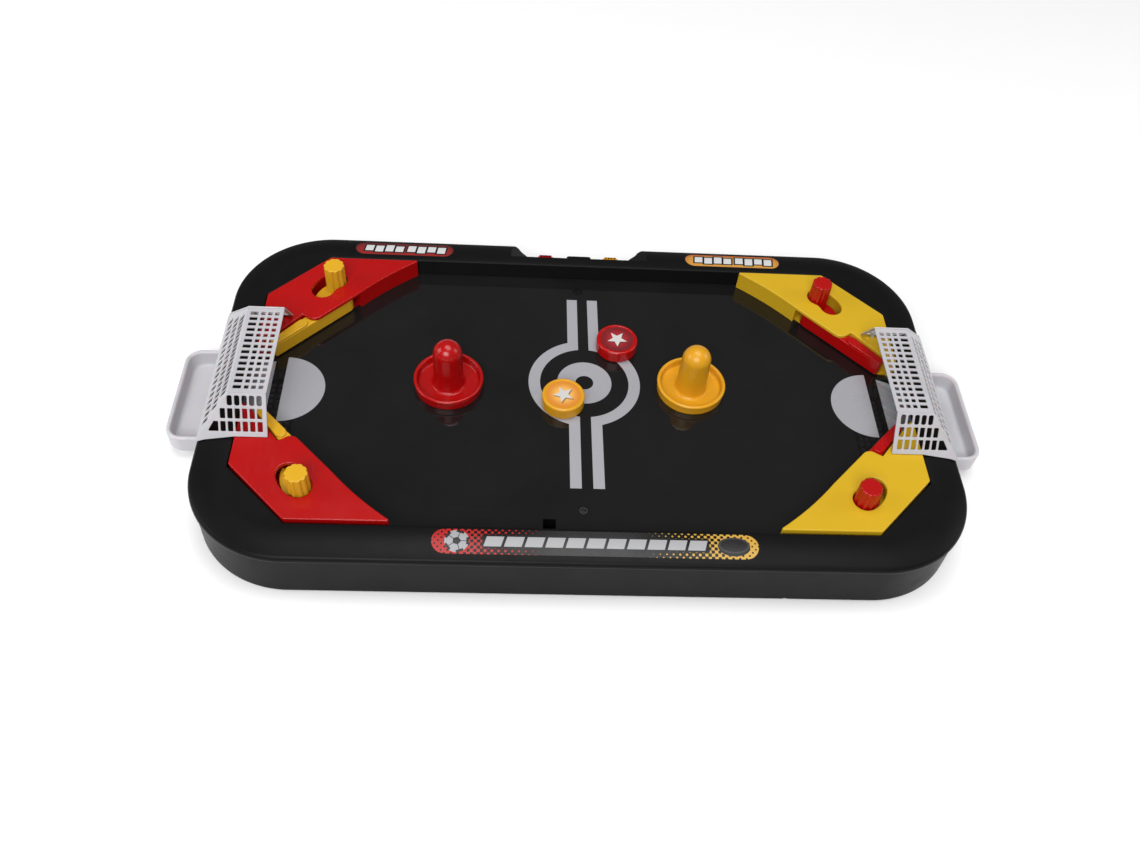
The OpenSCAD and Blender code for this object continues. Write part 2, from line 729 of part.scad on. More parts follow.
mirror([0, 1, 0]) label(black, 5, 125.5, 196, 16.4);  // label_front
label(red, -129.4, 127, 72.5, 15.2);  // label_red
label(yellow, 115.5, 127, 72.5, 15.2);  // label_yellow
pusher(red, pusher_red_at[0], pusher_red_at[1]);  // pusher_red
pusher(yellow, pusher_yellow_at[0], pusher_yellow_at[1]);  // pusher_yellow
puck(red, puck_red_at[0], puck_red_at[1]);  // puck_red
puck(yellow, puck_yellow_at[0], puck_yellow_at[1]);  // puck_yellow
puck_sticker("darkred", puck_red_at[0], puck_red_at[1]);  // puck_sticker_red
puck_sticker("orange", puck_yellow_at[0], puck_yellow_at[1]);  // puck_sticker_yellow
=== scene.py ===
import json
import math

import bmesh
import bpy
import numpy as np
from mathutils import Matrix, Vector, geometry


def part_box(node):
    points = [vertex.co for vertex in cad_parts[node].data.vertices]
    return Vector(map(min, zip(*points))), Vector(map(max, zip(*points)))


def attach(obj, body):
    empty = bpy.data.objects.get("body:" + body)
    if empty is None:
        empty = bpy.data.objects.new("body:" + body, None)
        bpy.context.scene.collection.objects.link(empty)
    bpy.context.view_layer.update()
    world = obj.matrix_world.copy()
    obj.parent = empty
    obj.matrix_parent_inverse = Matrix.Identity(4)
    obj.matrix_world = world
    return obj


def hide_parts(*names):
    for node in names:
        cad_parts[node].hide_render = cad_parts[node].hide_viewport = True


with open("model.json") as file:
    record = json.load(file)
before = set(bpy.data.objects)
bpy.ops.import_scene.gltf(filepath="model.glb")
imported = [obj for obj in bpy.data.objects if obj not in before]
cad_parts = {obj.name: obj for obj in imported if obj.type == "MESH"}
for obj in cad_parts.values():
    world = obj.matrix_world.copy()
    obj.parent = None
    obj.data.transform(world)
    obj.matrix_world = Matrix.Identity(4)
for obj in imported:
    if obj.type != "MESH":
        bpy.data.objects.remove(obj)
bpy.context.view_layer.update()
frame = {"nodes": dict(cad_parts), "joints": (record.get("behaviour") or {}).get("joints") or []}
MM = 0.001


# ---------------------------------------------------------------------------------------------
# Upper shell: one satin black plastic moulding that makes the rolled rim, the walls round the
# field and the skirt. Its section is carried round the table, then the score pocket, the goal
# mouths and the tray openings are cut out of it.

shell_low, shell_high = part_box("upper_shell")
panel_low, panel_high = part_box("play_panel")
field_z = panel_high.z
rim_z = field_z + 12.3 * MM              # rim height where it meets the wall
crown_z = rim_z + 0.4 * MM               # highest line of the crown
corner_r = 64.5 * MM                     # outer corners
recess_x = panel_high.x + 0.3 * MM
recess_y = panel_high.y + 0.3 * MM
recess_cut = 40.4 * MM                   # the recess's cut corners
core_x = shell_high.x - corner_r         # centres of the corner circles
core_y = shell_high.y - corner_r
roll_r = 3.5 * MM
roll_z = field_z + 7 * MM
END_STEPS, CORNER_STEPS, SIDE_STEPS = 14, 30, 44


def all_round(quarter):
    """A quarter of a loop, from +X to +Y, and its mirror images, joined into the whole loop."""
    back = (quarter * (-1, 1))[::-1]
    front = (quarter * (1, -1))[::-1]
    return np.concatenate([quarter[:-1], back[:-1], -quarter[:-1], front[:-1]])


def quarter_loop(end, corner, side):
    """Points up the end wall, round the corner and along the side wall, each as a line or an arc."""
    return all_round(np.concatenate([end[:-1], corner, side[1:]]))


def between(a, b, steps):
    """Evenly spaced points on the straight line from a to b."""
    t = np.linspace(0, 1, steps)[:, None]
    return (1 - t) * np.array(a, float) + t * np.array(b, float)


def rim_loop(r):
    """Loop at distance r outside the rectangle that joins the corner circles' centres."""
    turn = np.linspace(0, math.pi / 2, CORNER_STEPS)
    corner = np.stack([core_x + r * np.cos(turn), core_y + r * np.sin(turn)], 1)
    return quarter_loop(between((core_x + r, 0), (core_x + r, core_y), END_STEPS), corner,
                        between((core_x, core_y + r), (0, core_y + r), SIDE_STEPS))


def recess_loop(grow):
    """The recess's octagon, with every side moved outwards by grow."""
    x, y = recess_x + grow, recess_y + grow
    cut = recess_cut + grow * (2 - math.sqrt(2))
    return quarter_loop(between((x, 0), (x, y - cut), END_STEPS),
                        between((x, y - cut), (x - cut, y), CORNER_STEPS),
                        between((x - cut, y), (0, y), SIDE_STEPS))


def rim_distance(xy):
    """Distance outside the rectangle of the corner centres: |max(|p| - core, 0)| + min(max(|p| - core), 0)."""
    q = np.abs(xy) - (core_x, core_y)
    return np.hypot(*np.maximum(q, 0).T) + np.minimum(q.max(1), 0)


def crown_height(xy):
    """Height of the rim: level by the wall, a soft rise to the crown, then a parabola down to the rolled edge."""
    crest = corner_r - 17.5 * MM
    roll_start = corner_r - roll_r + roll_r * math.cos(math.radians(72))
    fall = (crown_z - roll_z - roll_r * math.sin(math.radians(72))) / (roll_start - crest) ** 2
    r = rim_distance(xy)
    rise = np.clip((crest - r) / (9 * MM), 0, 1)
    outer = crown_z - fall * np.maximum(r - crest, 0) ** 2
    return outer - (crown_z - rim_z) * rise * rise * (3 - 2 * rise)


def grid_faces(rows, columns, close_rows, close_columns):
    """Four-sided faces between neighbouring points of a grid, wrapping round where it is closed."""
    i = np.arange(rows if close_rows else rows - 1)[:, None]
    j = np.arange(columns if close_columns else columns - 1)[None, :]
    i2, j2 = (i + 1) % rows, (j + 1) % columns
    return np.stack([i * columns + j, i * columns + j2, i2 * columns + j2, i2 * columns + j], -1).reshape(-1, 4)


def mesh_piece(name, points, faces):
    """New object from points and faces, with doubles merged and every face turned outwards."""
    mesh = bpy.data.meshes.new(name)
    mesh.from_pydata(np.asarray(points).reshape(-1, 3).tolist(), [], [list(map(int, f)) for f in faces])
    work = bmesh.new()
    work.from_mesh(mesh)
    bmesh.ops.remove_doubles(work, verts=work.verts, dist=1e-7)
    bmesh.ops.recalc_face_normals(work, faces=work.faces)
    work.to_mesh(mesh)
    work.free()
    piece = bpy.data.objects.new(name, mesh)
    bpy.context.scene.collection.objects.link(piece)
    return piece


def settle(piece):
    """Makes the piece's modifiers part of its mesh."""
    depsgraph = bpy.context.evaluated_depsgraph_get()
    mesh = bpy.data.meshes.new_from_object(piece.evaluated_get(depsgraph))
    piece.modifiers.clear()
    piece.data = mesh


def cut_out(piece, tool):
    """Takes the tool's volume out of the piece."""
    cut = piece.modifiers.new("cut", "BOOLEAN")
    cut.object = tool
    cut.solver = "EXACT"
    settle(piece)
    bpy.data.objects.remove(tool)


def smooth_faces(piece, angle=32, bevel=0.0):
    """Soft shading that breaks at sharp edges, with those edges rounded off by bevel where it is given."""
    if bevel:
        edge = piece.modifiers.new("edge", "BEVEL")
        edge.width = bevel
        edge.segments = 2
        edge.limit_method = "ANGLE"
        edge.angle_limit = math.radians(angle)
        edge.use_clamp_overlap = True
        settle(piece)
    piece.data.shade_smooth()
    piece.data.set_sharp_from_angle(angle=math.radians(angle))
    weighted = piece.modifiers.new("weighted", "WEIGHTED_NORMAL")
    weighted.keep_sharp = True
    weighted.weight = 80
    settle(piece)


class Moulding:
    """Closed solid with level caps. wall() carries a flat ring along a profile of (inset, height) steps,
    moving each corner sideways along its mitre (n1 + n2) / (1 + n1.n2); cap() closes rings at one height."""

    def __init__(self):
        self.points = np.zeros((0, 3))
        self.faces = []

    def wall(self, ring, profile, hole=False):
        ring = np.asarray(ring, float)
        x, y = ring.T
        area = np.sum(x * np.roll(y, -1) - np.roll(x, -1) * y)
        if (area < 0) != hole:
            ring = ring[::-1]
        ahead = np.roll(ring, -1, 0) - ring
        ahead /= np.linalg.norm(ahead, axis=1)[:, None]
        side = np.stack([ahead[:, 1], -ahead[:, 0]], 1)
        last = np.roll(side, 1, 0)
        mitre = (side + last) / (1 + np.sum(side * last, 1))[:, None]
        steps = np.array(profile, float)
        xy = ring[None] - mitre[None] * steps[:, 0, None, None]
        z = np.broadcast_to(steps[:, 1, None, None], xy.shape[:2] + (1,))
        base = len(self.points)
        self.points = np.concatenate([self.points, np.concatenate([xy, z], 2).reshape(-1, 3)])
        self.faces += (grid_faces(len(steps), len(ring), False, True) + base).tolist()
        ids = base + np.arange(len(steps) * len(ring)).reshape(len(steps), -1)
        return ids[0], ids[-1]

    def cap(self, *loops):
        if len(loops) == 1:
            self.faces.append(loops[0].tolist())
            return
        order = np.concatenate(loops)
        rings = [[Vector((p[0], p[1], 0)) for p in self.points[ids]] for ids in loops]
        self.faces += order[np.array(geometry.tessellate_polygon(rings))].tolist()

    def plate(self, ring, holes, profile):
        """A plain plate: one outline, its holes, and a cap at both ends of the profile."""
        ends = [self.wall(ring, profile)] + [self.wall(h, profile, hole=True) for h in holes]
        self.cap(*[first for first, last in ends])
        self.cap(*[last for first, last in ends])
        return self

    def piece(self, name, place=None):
        points = self.points if place is None else place(self.points)
        return mesh_piece(name, points, self.faces)


def fillet(low, high, bottom, top, steps=4):
    """Profile of a plate's edge: up from low to high, with quarter circles of radius bottom and top."""
    a = np.linspace(0, math.pi / 2, steps)
    rise = [(bottom * (1 - math.sin(t)), low + bottom * (1 - math.cos(t))) for t in a] if bottom else [(0, low)]
    fall = [(top * (1 - math.cos(t)), high - top * (1 - math.sin(t))) for t in a] if top else [(0, high)]
    return rise + fall


def rounded(corners, radius, steps=5):
    """Outline whose corners are arcs: each arc touches both sides at radius / tan(half the corner's angle)."""
    corners = np.asarray(corners, float)
    radii = np.broadcast_to(radius, len(corners))
    out = []
    for before, corner, after, r in zip(np.roll(corners, 1, 0), corners, np.roll(corners, -1, 0), radii):
        a, b = before - corner, after - corner
        shortest = min(np.linalg.norm(a), np.linalg.norm(b))
        a, b = a / np.linalg.norm(a), b / np.linalg.norm(b)
        half = 0.5 * math.acos(max(-1.0, min(1.0, a @ b)))
        if r == 0 or half > 1.55:
            out.append(corner[None])
            continue
        reach = min(r / math.tan(half), 0.45 * shortest)
        r = reach * math.tan(half)
        middle = (a + b) / np.linalg.norm(a + b)
        centre = corner + middle * r / math.sin(half)
        first, end = corner + a * reach - centre, corner + b * reach - centre
        angle = math.atan2(first[1], first[0])
        turn = (math.atan2(end[1], end[0]) - angle + math.pi) % (2 * math.pi) - math.pi
        sweep = angle + turn * np.linspace(0, 1, steps)
        out.append(centre + r * np.stack([np.cos(sweep), np.sin(sweep)], 1))
    return np.concatenate(out)


def upright(points):
    """Turns an outline drawn in (x, z) and carried along its third axis into place: (x, z, y) to (x, y, z)."""
    return points[:, [0, 2, 1]]


panel_z = panel_low.z
ledge_z = panel_z - 2 * MM
lip_edge = 0.8 * MM
rows = [(recess_loop(-5 * MM), ledge_z), (recess_loop(-5 * MM), panel_z - 0.02 * MM),
        (recess_loop(0), panel_z - 0.02 * MM), (recess_loop(0), field_z + 1 * MM),
        (recess_loop(0), field_z + 6 * MM)]
for turn in np.linspace(0, math.pi / 2, 5):
    rows.append((recess_loop(lip_edge * (1 - math.cos(turn))), rim_z - lip_edge * (1 - math.sin(turn))))
inner_edge, roll_edge = recess_loop(lip_edge), rim_loop(corner_r - roll_r + roll_r * math.cos(math.radians(72)))
for t in np.linspace(0, 1, 20)[1:-1]:
    across = (1 - t) * inner_edge + t * roll_edge
    rows.append((across, crown_height(across)))
for turn in np.radians(np.linspace(72, -24, 13)):
    rows.append((rim_loop(corner_r - roll_r + roll_r * math.cos(turn)), roll_z + roll_r * math.sin(turn)))
skirt_r = corner_r - 1.2 * MM
rows += [(rim_loop(skirt_r + 0.25 * MM), roll_z - 2.1 * MM), (rim_loop(skirt_r), roll_z - 2.9 * MM),
         (rim_loop(skirt_r + 0.35 * MM), shell_low.z + 16 * MM),
         (rim_loop(skirt_r + 0.68 * MM), shell_low.z + 0.5 * MM),
         (rim_loop(skirt_r + 0.3 * MM), shell_low.z), (rim_loop(skirt_r - 1.3 * MM), shell_low.z),
         (rim_loop(skirt_r - 1.8 * MM), shell_low.z + 0.6 * MM), (rim_loop(skirt_r - 2.4 * MM), ledge_z)]
grid = np.zeros((len(rows), len(rows[0][0]), 3))
for row, (loop, height) in zip(grid, rows):
    row[:, :2] = loop
    row[:, 2] = height
upper_shell = mesh_piece("rim_moulding", grid, grid_faces(len(rows), grid.shape[1], True, True))

pocket_y = 123.5 * MM
pocket_z = field_z - 0.5 * MM
divider = [(-9, 0), (-9, 7.5), (-8, 8.5), (8, 8.5), (9, 7.5), (9, 0)]
for start, middle in ((pocket_y, divider), (130.8 * MM, [])):
    outline = [(-62, 40), (-62, 13.6), (-51.2, 12.9), (-38.5, 0)] + middle
    outline += [(38.5, 0), (51.2, 12.9), (62, 13.6), (62, 40)]
    radii = [0, 0, 2.5, 0.6] + [0.3] * len(middle) + [0.6, 2.5, 0, 0]
    ring = rounded(np.array(outline) * MM, np.array(radii) * MM) + (0, pocket_z)
    pocket_tool = Moulding().plate(ring, [], [(0, start), (0, 200 * MM)])
    cut_out(upper_shell, pocket_tool.piece("pocket_tool", upright))

mouth_y = 24.4 * MM
tray_low, tray_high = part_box("goal_tray_right")
tray_y = tray_high.y + 0.4 * MM
openings = Moulding()
tray_top = field_z - 8 * MM
tray_bottom = tray_top - 14 * MM
for side in (-1, 1):
    x1, x2 = sorted((side * 198.5 * MM, side * 232 * MM))
    openings.plate([(x1, -mouth_y), (x2, -mouth_y), (x2, mouth_y), (x1, mouth_y)], [],
                   [(0, tray_bottom), (0, field_z + 10.1 * MM)])
    x1, x2 = sorted((side * 236.5 * MM, side * 260 * MM))
    ring = [(x1, -tray_y), (x2, -tray_y), (x2, tray_y), (x1, tray_y)]
    openings.plate(ring, [], [(0, tray_bottom - 0.4 * MM), (0, tray_top + 0.4 * MM)])
    track = sorted((side * 11.5 * MM, side * 36.5 * MM))
    slot_y = 129.5 * MM
    ring = [(track[0], slot_y - 1.6 * MM), (track[1], slot_y - 1.6 * MM),
            (track[1], slot_y + 1.6 * MM), (track[0], slot_y + 1.6 * MM)]
    openings.plate(ring, [], [(0, pocket_z - 5 * MM), (0, pocket_z + 1 * MM)])
notch = np.array([(124.5, -145), (127.1, -145), (127.1, -134), (124.5, -134)]) * MM
openings.plate(notch, [], [(0, -1 * MM), (0, shell_low.z + 1.1 * MM)])
cut_out(upper_shell, openings.piece("opening_tool"))
smooth_faces(upper_shell, 30, 0.3 * MM)


class Finish:
    """A material under construction, with one-line calls for the nodes that a procedural finish needs."""

    def __init__(self, name):
        self.material = bpy.data.materials.new(name)
        self.material.use_nodes = True
        self.tree = self.material.node_tree
        self.shader = self.tree.nodes["Principled BSDF"]
        self.place = self.node("ShaderNodeTexCoord").outputs["Object"]

    def node(self, kind, **settings):
        made = self.tree.nodes.new(kind)
        for key, value in settings.items():
            setattr(made, key, value)
        return made

    def put(self, socket, value):
        if isinstance(value, bpy.types.NodeSocket):
            self.tree.links.new(value, socket)
        else:
            socket.default_value = value

    def math(self, operation, *values):
        made = self.node("ShaderNodeMath", operation=operation)
        for socket, value in zip(made.inputs, values):
            self.put(socket, value)
        return made.outputs[0]

    def axes(self):
        return self.node_from("ShaderNodeSeparateXYZ", self.place).outputs

    def node_from(self, kind, source):
        made = self.node(kind)
        self.put(made.inputs[0], source)
        return made

    def noise(self, scale, detail=3.0, stretch=None):
        place = self.place
        if stretch:
            mapping = self.node_from("ShaderNodeMapping", place)
            mapping.inputs["Scale"].default_value = stretch
            place = mapping.outputs[0]
        made = self.node_from("ShaderNodeTexNoise", place)
        made.inputs["Scale"].default_value = scale
        made.inputs["Detail"].default_value = detail
        return made.outputs["Fac"]

    def spread(self, value, low, high, to_low, to_high, smooth=False):
        made = self.node("ShaderNodeMapRange", interpolation_type="SMOOTHSTEP" if smooth else "LINEAR")
        for socket, item in zip(made.inputs, (value, low, high, to_low, to_high)):
            self.put(socket, item)
        return made.outputs[0]

    def mix(self, share, a, b):
        made = self.node("ShaderNodeMix", data_type="RGBA")
        self.put(made.inputs["Factor"], share)
        for socket, value in ((made.inputs[6], a), (made.inputs[7], b)):
            self.put(socket, value if isinstance(value, bpy.types.NodeSocket) else (*value, 1.0))
        return made.outputs[2]

    def bump(self, height, distance, strength=1.0):
        made = self.node("ShaderNodeBump")
        made.inputs["Strength"].default_value = strength
        made.inputs["Distance"].default_value = distance
        self.put(made.inputs["Height"], height)
        self.put(self.shader.inputs["Normal"], made.outputs[0])

    def cloud(self, scale, detail, low, high):
        """Soft noise whose middle range is spread from low to high."""
        return self.spread(self.noise(scale, detail), 0.3, 0.7, low, high)

    def add(self, a, b):
        return self.math("ADD", a, b)

    def minus(self, a, b):
        return self.math("SUBTRACT", a, b)

    def times(self, a, b):
        return self.math("MULTIPLY", a, b)

    def apart(self, a, b):
        return self.math("ABSOLUTE", self.minus(a, b))

    def length(self, x, y):
        return self.math("SQRT", self.add(self.times(x, x), self.times(y, y)))

    def from_centre(self, centre):
        """Millimetres along X and along Y from the centre."""
        x, y, _ = self.axes()
        return self.times(self.minus(x, centre.x), 1000.0), self.times(self.minus(y, centre.y), 1000.0)

    def colour(self, value):
        self.put(self.shader.inputs["Base Color"], value if isinstance(value, bpy.types.NodeSocket) else (*value, 1))

    def rough(self, value):
        self.put(self.shader.inputs["Roughness"], value)


def dress(piece, material):
    """The piece wears this material all over."""
    piece.data.materials.clear()
    piece.data.materials.append(material)


def moulded_plastic(name, colour, rough, drift=0.06, grain=0.00003, grain_scale=900, shine=0.5):
    """Injection-moulded plastic: the colour drifts a little in soft clouds, the gloss varies in
    soft patches with finer rubbing marks over them, and the skin has the tool's fine grain."""
    finish = Finish(name)
    cloud = finish.noise(14, 2.0)
    darker = tuple(c * (1 - drift) for c in colour)
    lighter = tuple(min(1.0, c * (1 + drift)) for c in colour)
    finish.colour(finish.mix(finish.spread(cloud, 0.3, 0.7, 0, 1), darker, lighter))
    patches = finish.cloud(60, 4.0, -0.04, 0.04)
    rubs = finish.spread(finish.noise(420, 2.0, (1, 0.12, 1)), 0.62, 0.8, 0, 0.07)
    finish.rough(finish.add(finish.add(patches, rubs), rough))
    finish.bump(finish.noise(grain_scale, 2.0), grain)
    finish.shader.inputs["Specular IOR Level"].default_value = shine
    return finish.material


shell_black = moulded_plastic("shell_black", (0.0054, 0.0053, 0.0053), 0.4, grain=0.00004, grain_scale=1100,
                              shine=0.1)
dress(upper_shell, shell_black)
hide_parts("upper_shell")
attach(upper_shell, "table")


# ---------------------------------------------------------------------------------------------
# Play panel: a smooth black plastic sheet on the shell's ledge, screen-printed in pale grey with
# the centre circle, the two centre stripes and a half disc in front of each goal.

def printed_panel():
    """The print is a set of distances in millimetres: rings |r - radius| - half width, stripes and half discs
    by the larger of their limits, all joined by the smallest, and inked where the distance is below zero."""
    finish = Finish("panel_print")
    x, y, _ = finish.axes()
    print_x, print_y = 2.0, 12.2
    ring_r, ring_half = 34.45, 3.95
    disc_r, hole_r = 18.7, 6.1
    stripe_x, stripe_half = 7.4, 3.7
    stripe_middle, stripe_reach, stripe_start = -4.45, 84.55, 33.0
    goal_x, goal_y, goal_r = 200.7, -0.9, 28.0
    px = finish.math("MULTIPLY_ADD", x, 1000.0, -print_x)
    py = finish.math("MULTIPLY_ADD", y, 1000.0, -print_y)
    ax = finish.math("ABSOLUTE", px)
    r = finish.length(px, py)
    gap = finish.minus(stripe_half, ax)
    ring = finish.minus(finish.apart(r, ring_r), ring_half)
    ring = finish.math("MAXIMUM", ring, gap)
    disc = finish.math("MAXIMUM", finish.minus(r, disc_r), finish.minus(hole_r, r))
    stripe = finish.minus(finish.apart(ax, stripe_x), stripe_half)
    ends = finish.minus(finish.apart(py, stripe_middle), stripe_reach)
    stripe = finish.math("MAXIMUM", finish.math("MAXIMUM", stripe, ends), finish.minus(stripe_start, r))
    dx = finish.minus(finish.math("ABSOLUTE", finish.times(x, 1000.0)), goal_x)
    dy = finish.math("MULTIPLY_ADD", y, 1000.0, -goal_y)
    half = finish.length(dx, dy)
    half = finish.math("MAXIMUM", finish.minus(half, goal_r), dx)
    nearest = ring
    for shape in (disc, stripe, half):
        nearest = finish.math("MINIMUM", nearest, shape)
    ink = finish.spread(nearest, 0.07, -0.07, 0.0, 1.0, smooth=True)
    cloud = finish.cloud(22, 3.0, 0, 1)
    black = finish.mix(cloud, (0.0062, 0.0060, 0.0060), (0.0088, 0.0085, 0.0085))
    speckle = finish.spread(finish.noise(2600, 1.0), 0.35, 0.65, 0, 1)
    grey = finish.mix(speckle, (0.31, 0.31, 0.335), (0.345, 0.345, 0.37))
    finish.colour(finish.mix(ink, black, grey))
    glides = finish.spread(finish.noise(300, 2.0, (0.1, 1, 1)), 0.6, 0.8, 0, 0.05)
    base = finish.cloud(40, 3.0, 0.05, 0.09)
    finish.rough(finish.add(finish.add(base, glides), finish.times(ink, 0.22)))
    thick = finish.times(ink, 0.4)
    finish.bump(finish.add(thick, finish.times(finish.noise(500, 2.0), 0.1)), 0.00003)
    return finish.material


dress(frame["nodes"]["play_panel"], printed_panel())


# ---------------------------------------------------------------------------------------------
# Corner blocks: four thick glossy mouldings, red on the left and yellow on the right, that fill
# the recess's corners. A thin plate of each reaches over its flipper and has a curved slot for
# the flipper's knob; a thin floor plate of the same colour lies under the flipper.

yellow_joint = next(j for j in frame["joints"] if j["name"] == "flipper_yb_swing")
pivot = np.array(yellow_joint["pos_m"][:2])
arm_turn = math.radians(-45.8)
arm_l = 64.3 * MM
hub_r = 5.4 * MM
tip_v = 0.4 * MM
front_v = -6.2 * MM
bay_u = -8.9 * MM
knob_turn = math.radians(62)
knob_reach = 16 * MM
swing = math.radians(46)
slot_half = 7.9 * MM
block_low, block_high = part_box("block_cover_yb")
plate_z = block_high.z - 2.1 * MM


def at(u, v):
    """Point u along the flipper from its pivot and v behind its middle line."""
    c, s = math.cos(arm_turn), math.sin(arm_turn)
    return pivot + np.array([u * c - v * s, u * s + v * c])


def arc(centre, r, start, end, steps):
    """Points on a circle from one angle to another."""
    a = np.linspace(start, end, steps)
    return np.asarray(centre) + r * np.stack([np.cos(a), np.sin(a)], 1)


def back_edge(u):
    """The flipper's back face, as a straight taper from the hub to the tip."""
    return hub_r - (hub_r - tip_v) * u / arm_l


def block_rings():
    """The block's outline at its top, the same outline with the flipper's bay left out, and the knob's slot."""
    tip, bay = np.array([117, 113.7]) * MM, at(bay_u, front_v)
    t = np.linspace(0, 1, 9)[1:-1, None]
    chord = bay - tip
    hollow = tip + chord * t + 1.6 * MM * 4 * t * (1 - t) * np.array([-chord[1], chord[0]]) / np.linalg.norm(chord)
    outer = [(block_high.x, 74 * MM), (181.4 * MM, 113.7 * MM), tuple(tip)] + [tuple(p) for p in hollow]
    radii = [2.5 * MM, 2.5 * MM, 1.2 * MM] + [0] * len(hollow)
    end_u = 68.3 * MM
    close = [tuple(at(33 * MM, back_edge(33 * MM) + 1.2 * MM)), tuple(at(end_u, back_edge(end_u) + 1 * MM)),
             (block_high.x, block_low.y)]
    nose = [tuple(p) for p in [at(26 * MM + 6 * MM * math.cos(a), front_v + 6 * MM + 6 * MM * math.sin(a))
                               for a in np.linspace(-math.pi / 2, 0, 8)]]
    plate = outer + [tuple(bay)] + nose + close
    plate_radii = radii + [0] + [0] * len(nose) + [0.8 * MM, 0.8 * MM, 1.2 * MM]
    sweep = arc(pivot, 25.8 * MM, math.radians(105), math.radians(-35.5), 18)
    under = outer + [tuple(bay), tuple(at(bay_u, 6.6 * MM))] + [tuple(p) for p in sweep] + close
    under_radii = radii + [0, 0] + [0] * len(sweep) + [0.8 * MM, 0.8 * MM, 1.2 * MM]
    a0, a1 = knob_turn - swing, knob_turn
    near, far = [pivot + knob_reach * np.array([math.cos(a), math.sin(a)]) for a in (a0, a1)]
    slot = np.concatenate([
        arc(pivot, knob_reach + slot_half, a0, a1, 14), arc(far, slot_half, a1, a1 + math.pi, 14)[1:],
        arc(pivot, knob_reach - slot_half, a1, a0, 8)[1:],
        arc(near, slot_half, a0 + math.pi, a0 + 2 * math.pi, 14)[1:-1]])
    return rounded(plate, plate_radii), rounded(under, under_radii), slot


def corner_block(name, sx, sy):
    """The plate's wall and slot rise to rounded top edges; the body's wall goes down from the plate."""
    plate, under, slot = [ring * (sx, sy) for ring in block_rings()]
    block = Moulding()
    edge = fillet(plate_z, block_high.z, 0, 0.7 * MM)
    plate_foot, plate_top = block.wall(plate, edge)
    slot_foot, slot_top = block.wall(slot, edge, hole=True)
    inset = 0.02 * MM
    body_top, body_foot = block.wall(under, [(inset, plate_z), (inset, block_low.z + 0.03 * MM)])
    block.cap(plate_top, slot_top)
    block.cap(plate_foot, slot_foot, body_top)
    block.cap(body_foot)
    piece = block.piece(name)
    smooth_faces(piece)
    return piece


def glossy(name, colour, rough=0.24):
    """The polished plastic of the small mouldings: little drift of colour and hardly any grain."""
    return moulded_plastic(name, colour, rough, drift=0.05, grain=0.000006, grain_scale=300, shine=0.4)


gloss_red = glossy("gloss_red", (0.39, 0.0022, 0.0024))
gloss_yellow = glossy("gloss_yellow", (0.58, 0.36, 0.014))
gloss_amber = glossy("gloss_amber", (0.66, 0.31, 0.010), 0.28)
arm_yellow = glossy("arm_yellow", (0.66, 0.36, 0.016), 0.26)
QUARTERS = {"rb": (-1, 1), "rf": (-1, -1), "yb": (1, 1), "yf": (1, -1)}
for quarter, (sx, sy) in QUARTERS.items():
    own = gloss_red if quarter[0] == "r" else gloss_yellow
    block = corner_block("corner_block_" + quarter, sx, sy)
    dress(block, own)
    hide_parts("block_cover_" + quarter)
    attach(block, "table")
    dress(frame["nodes"]["block_base_" + quarter], own)


# ---------------------------------------------------------------------------------------------
# Flippers: one moulding each, in the other side's colour. A tapered arm turns on a hidden pin in
# its hub, ends in a raised pad, and is swung by a fluted knob on a flat sector disc about the hub.

flipper_low, flipper_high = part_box("flipper_yb")
arm_top = plate_z - 0.3 * MM
knob_at = pivot + knob_reach * np.array([math.cos(knob_turn), math.sin(knob_turn)])
knob_r = 7.4 * MM
disc_top = field_z + 6 * MM


def turned_surface(profile, centre, steps, flute=0.0, lobes=10):
    """Lathe form: the profile (r, z) turned about a vertical axis. Flutes scale r by
    1 - flute * (0.5 - 0.5 cos(lobes * angle)) ** 2, and each step's third value says how deep they run."""
    profile = np.array([tuple(p) + (1.0,) * (3 - len(p)) for p in profile], float)
    a = np.linspace(0, 2 * math.pi, steps, endpoint=False)
    dip = flute * (0.5 - 0.5 * np.cos(lobes * a)) ** 2
    r = profile[:, 0, None] * (1 - dip[None] * profile[:, 2, None])
    points = np.stack([centre[0] + r * np.cos(a), centre[1] + r * np.sin(a),
                       np.broadcast_to(profile[:, 1, None], r.shape)], 2)
    return points, grid_faces(len(profile), steps, False, True)


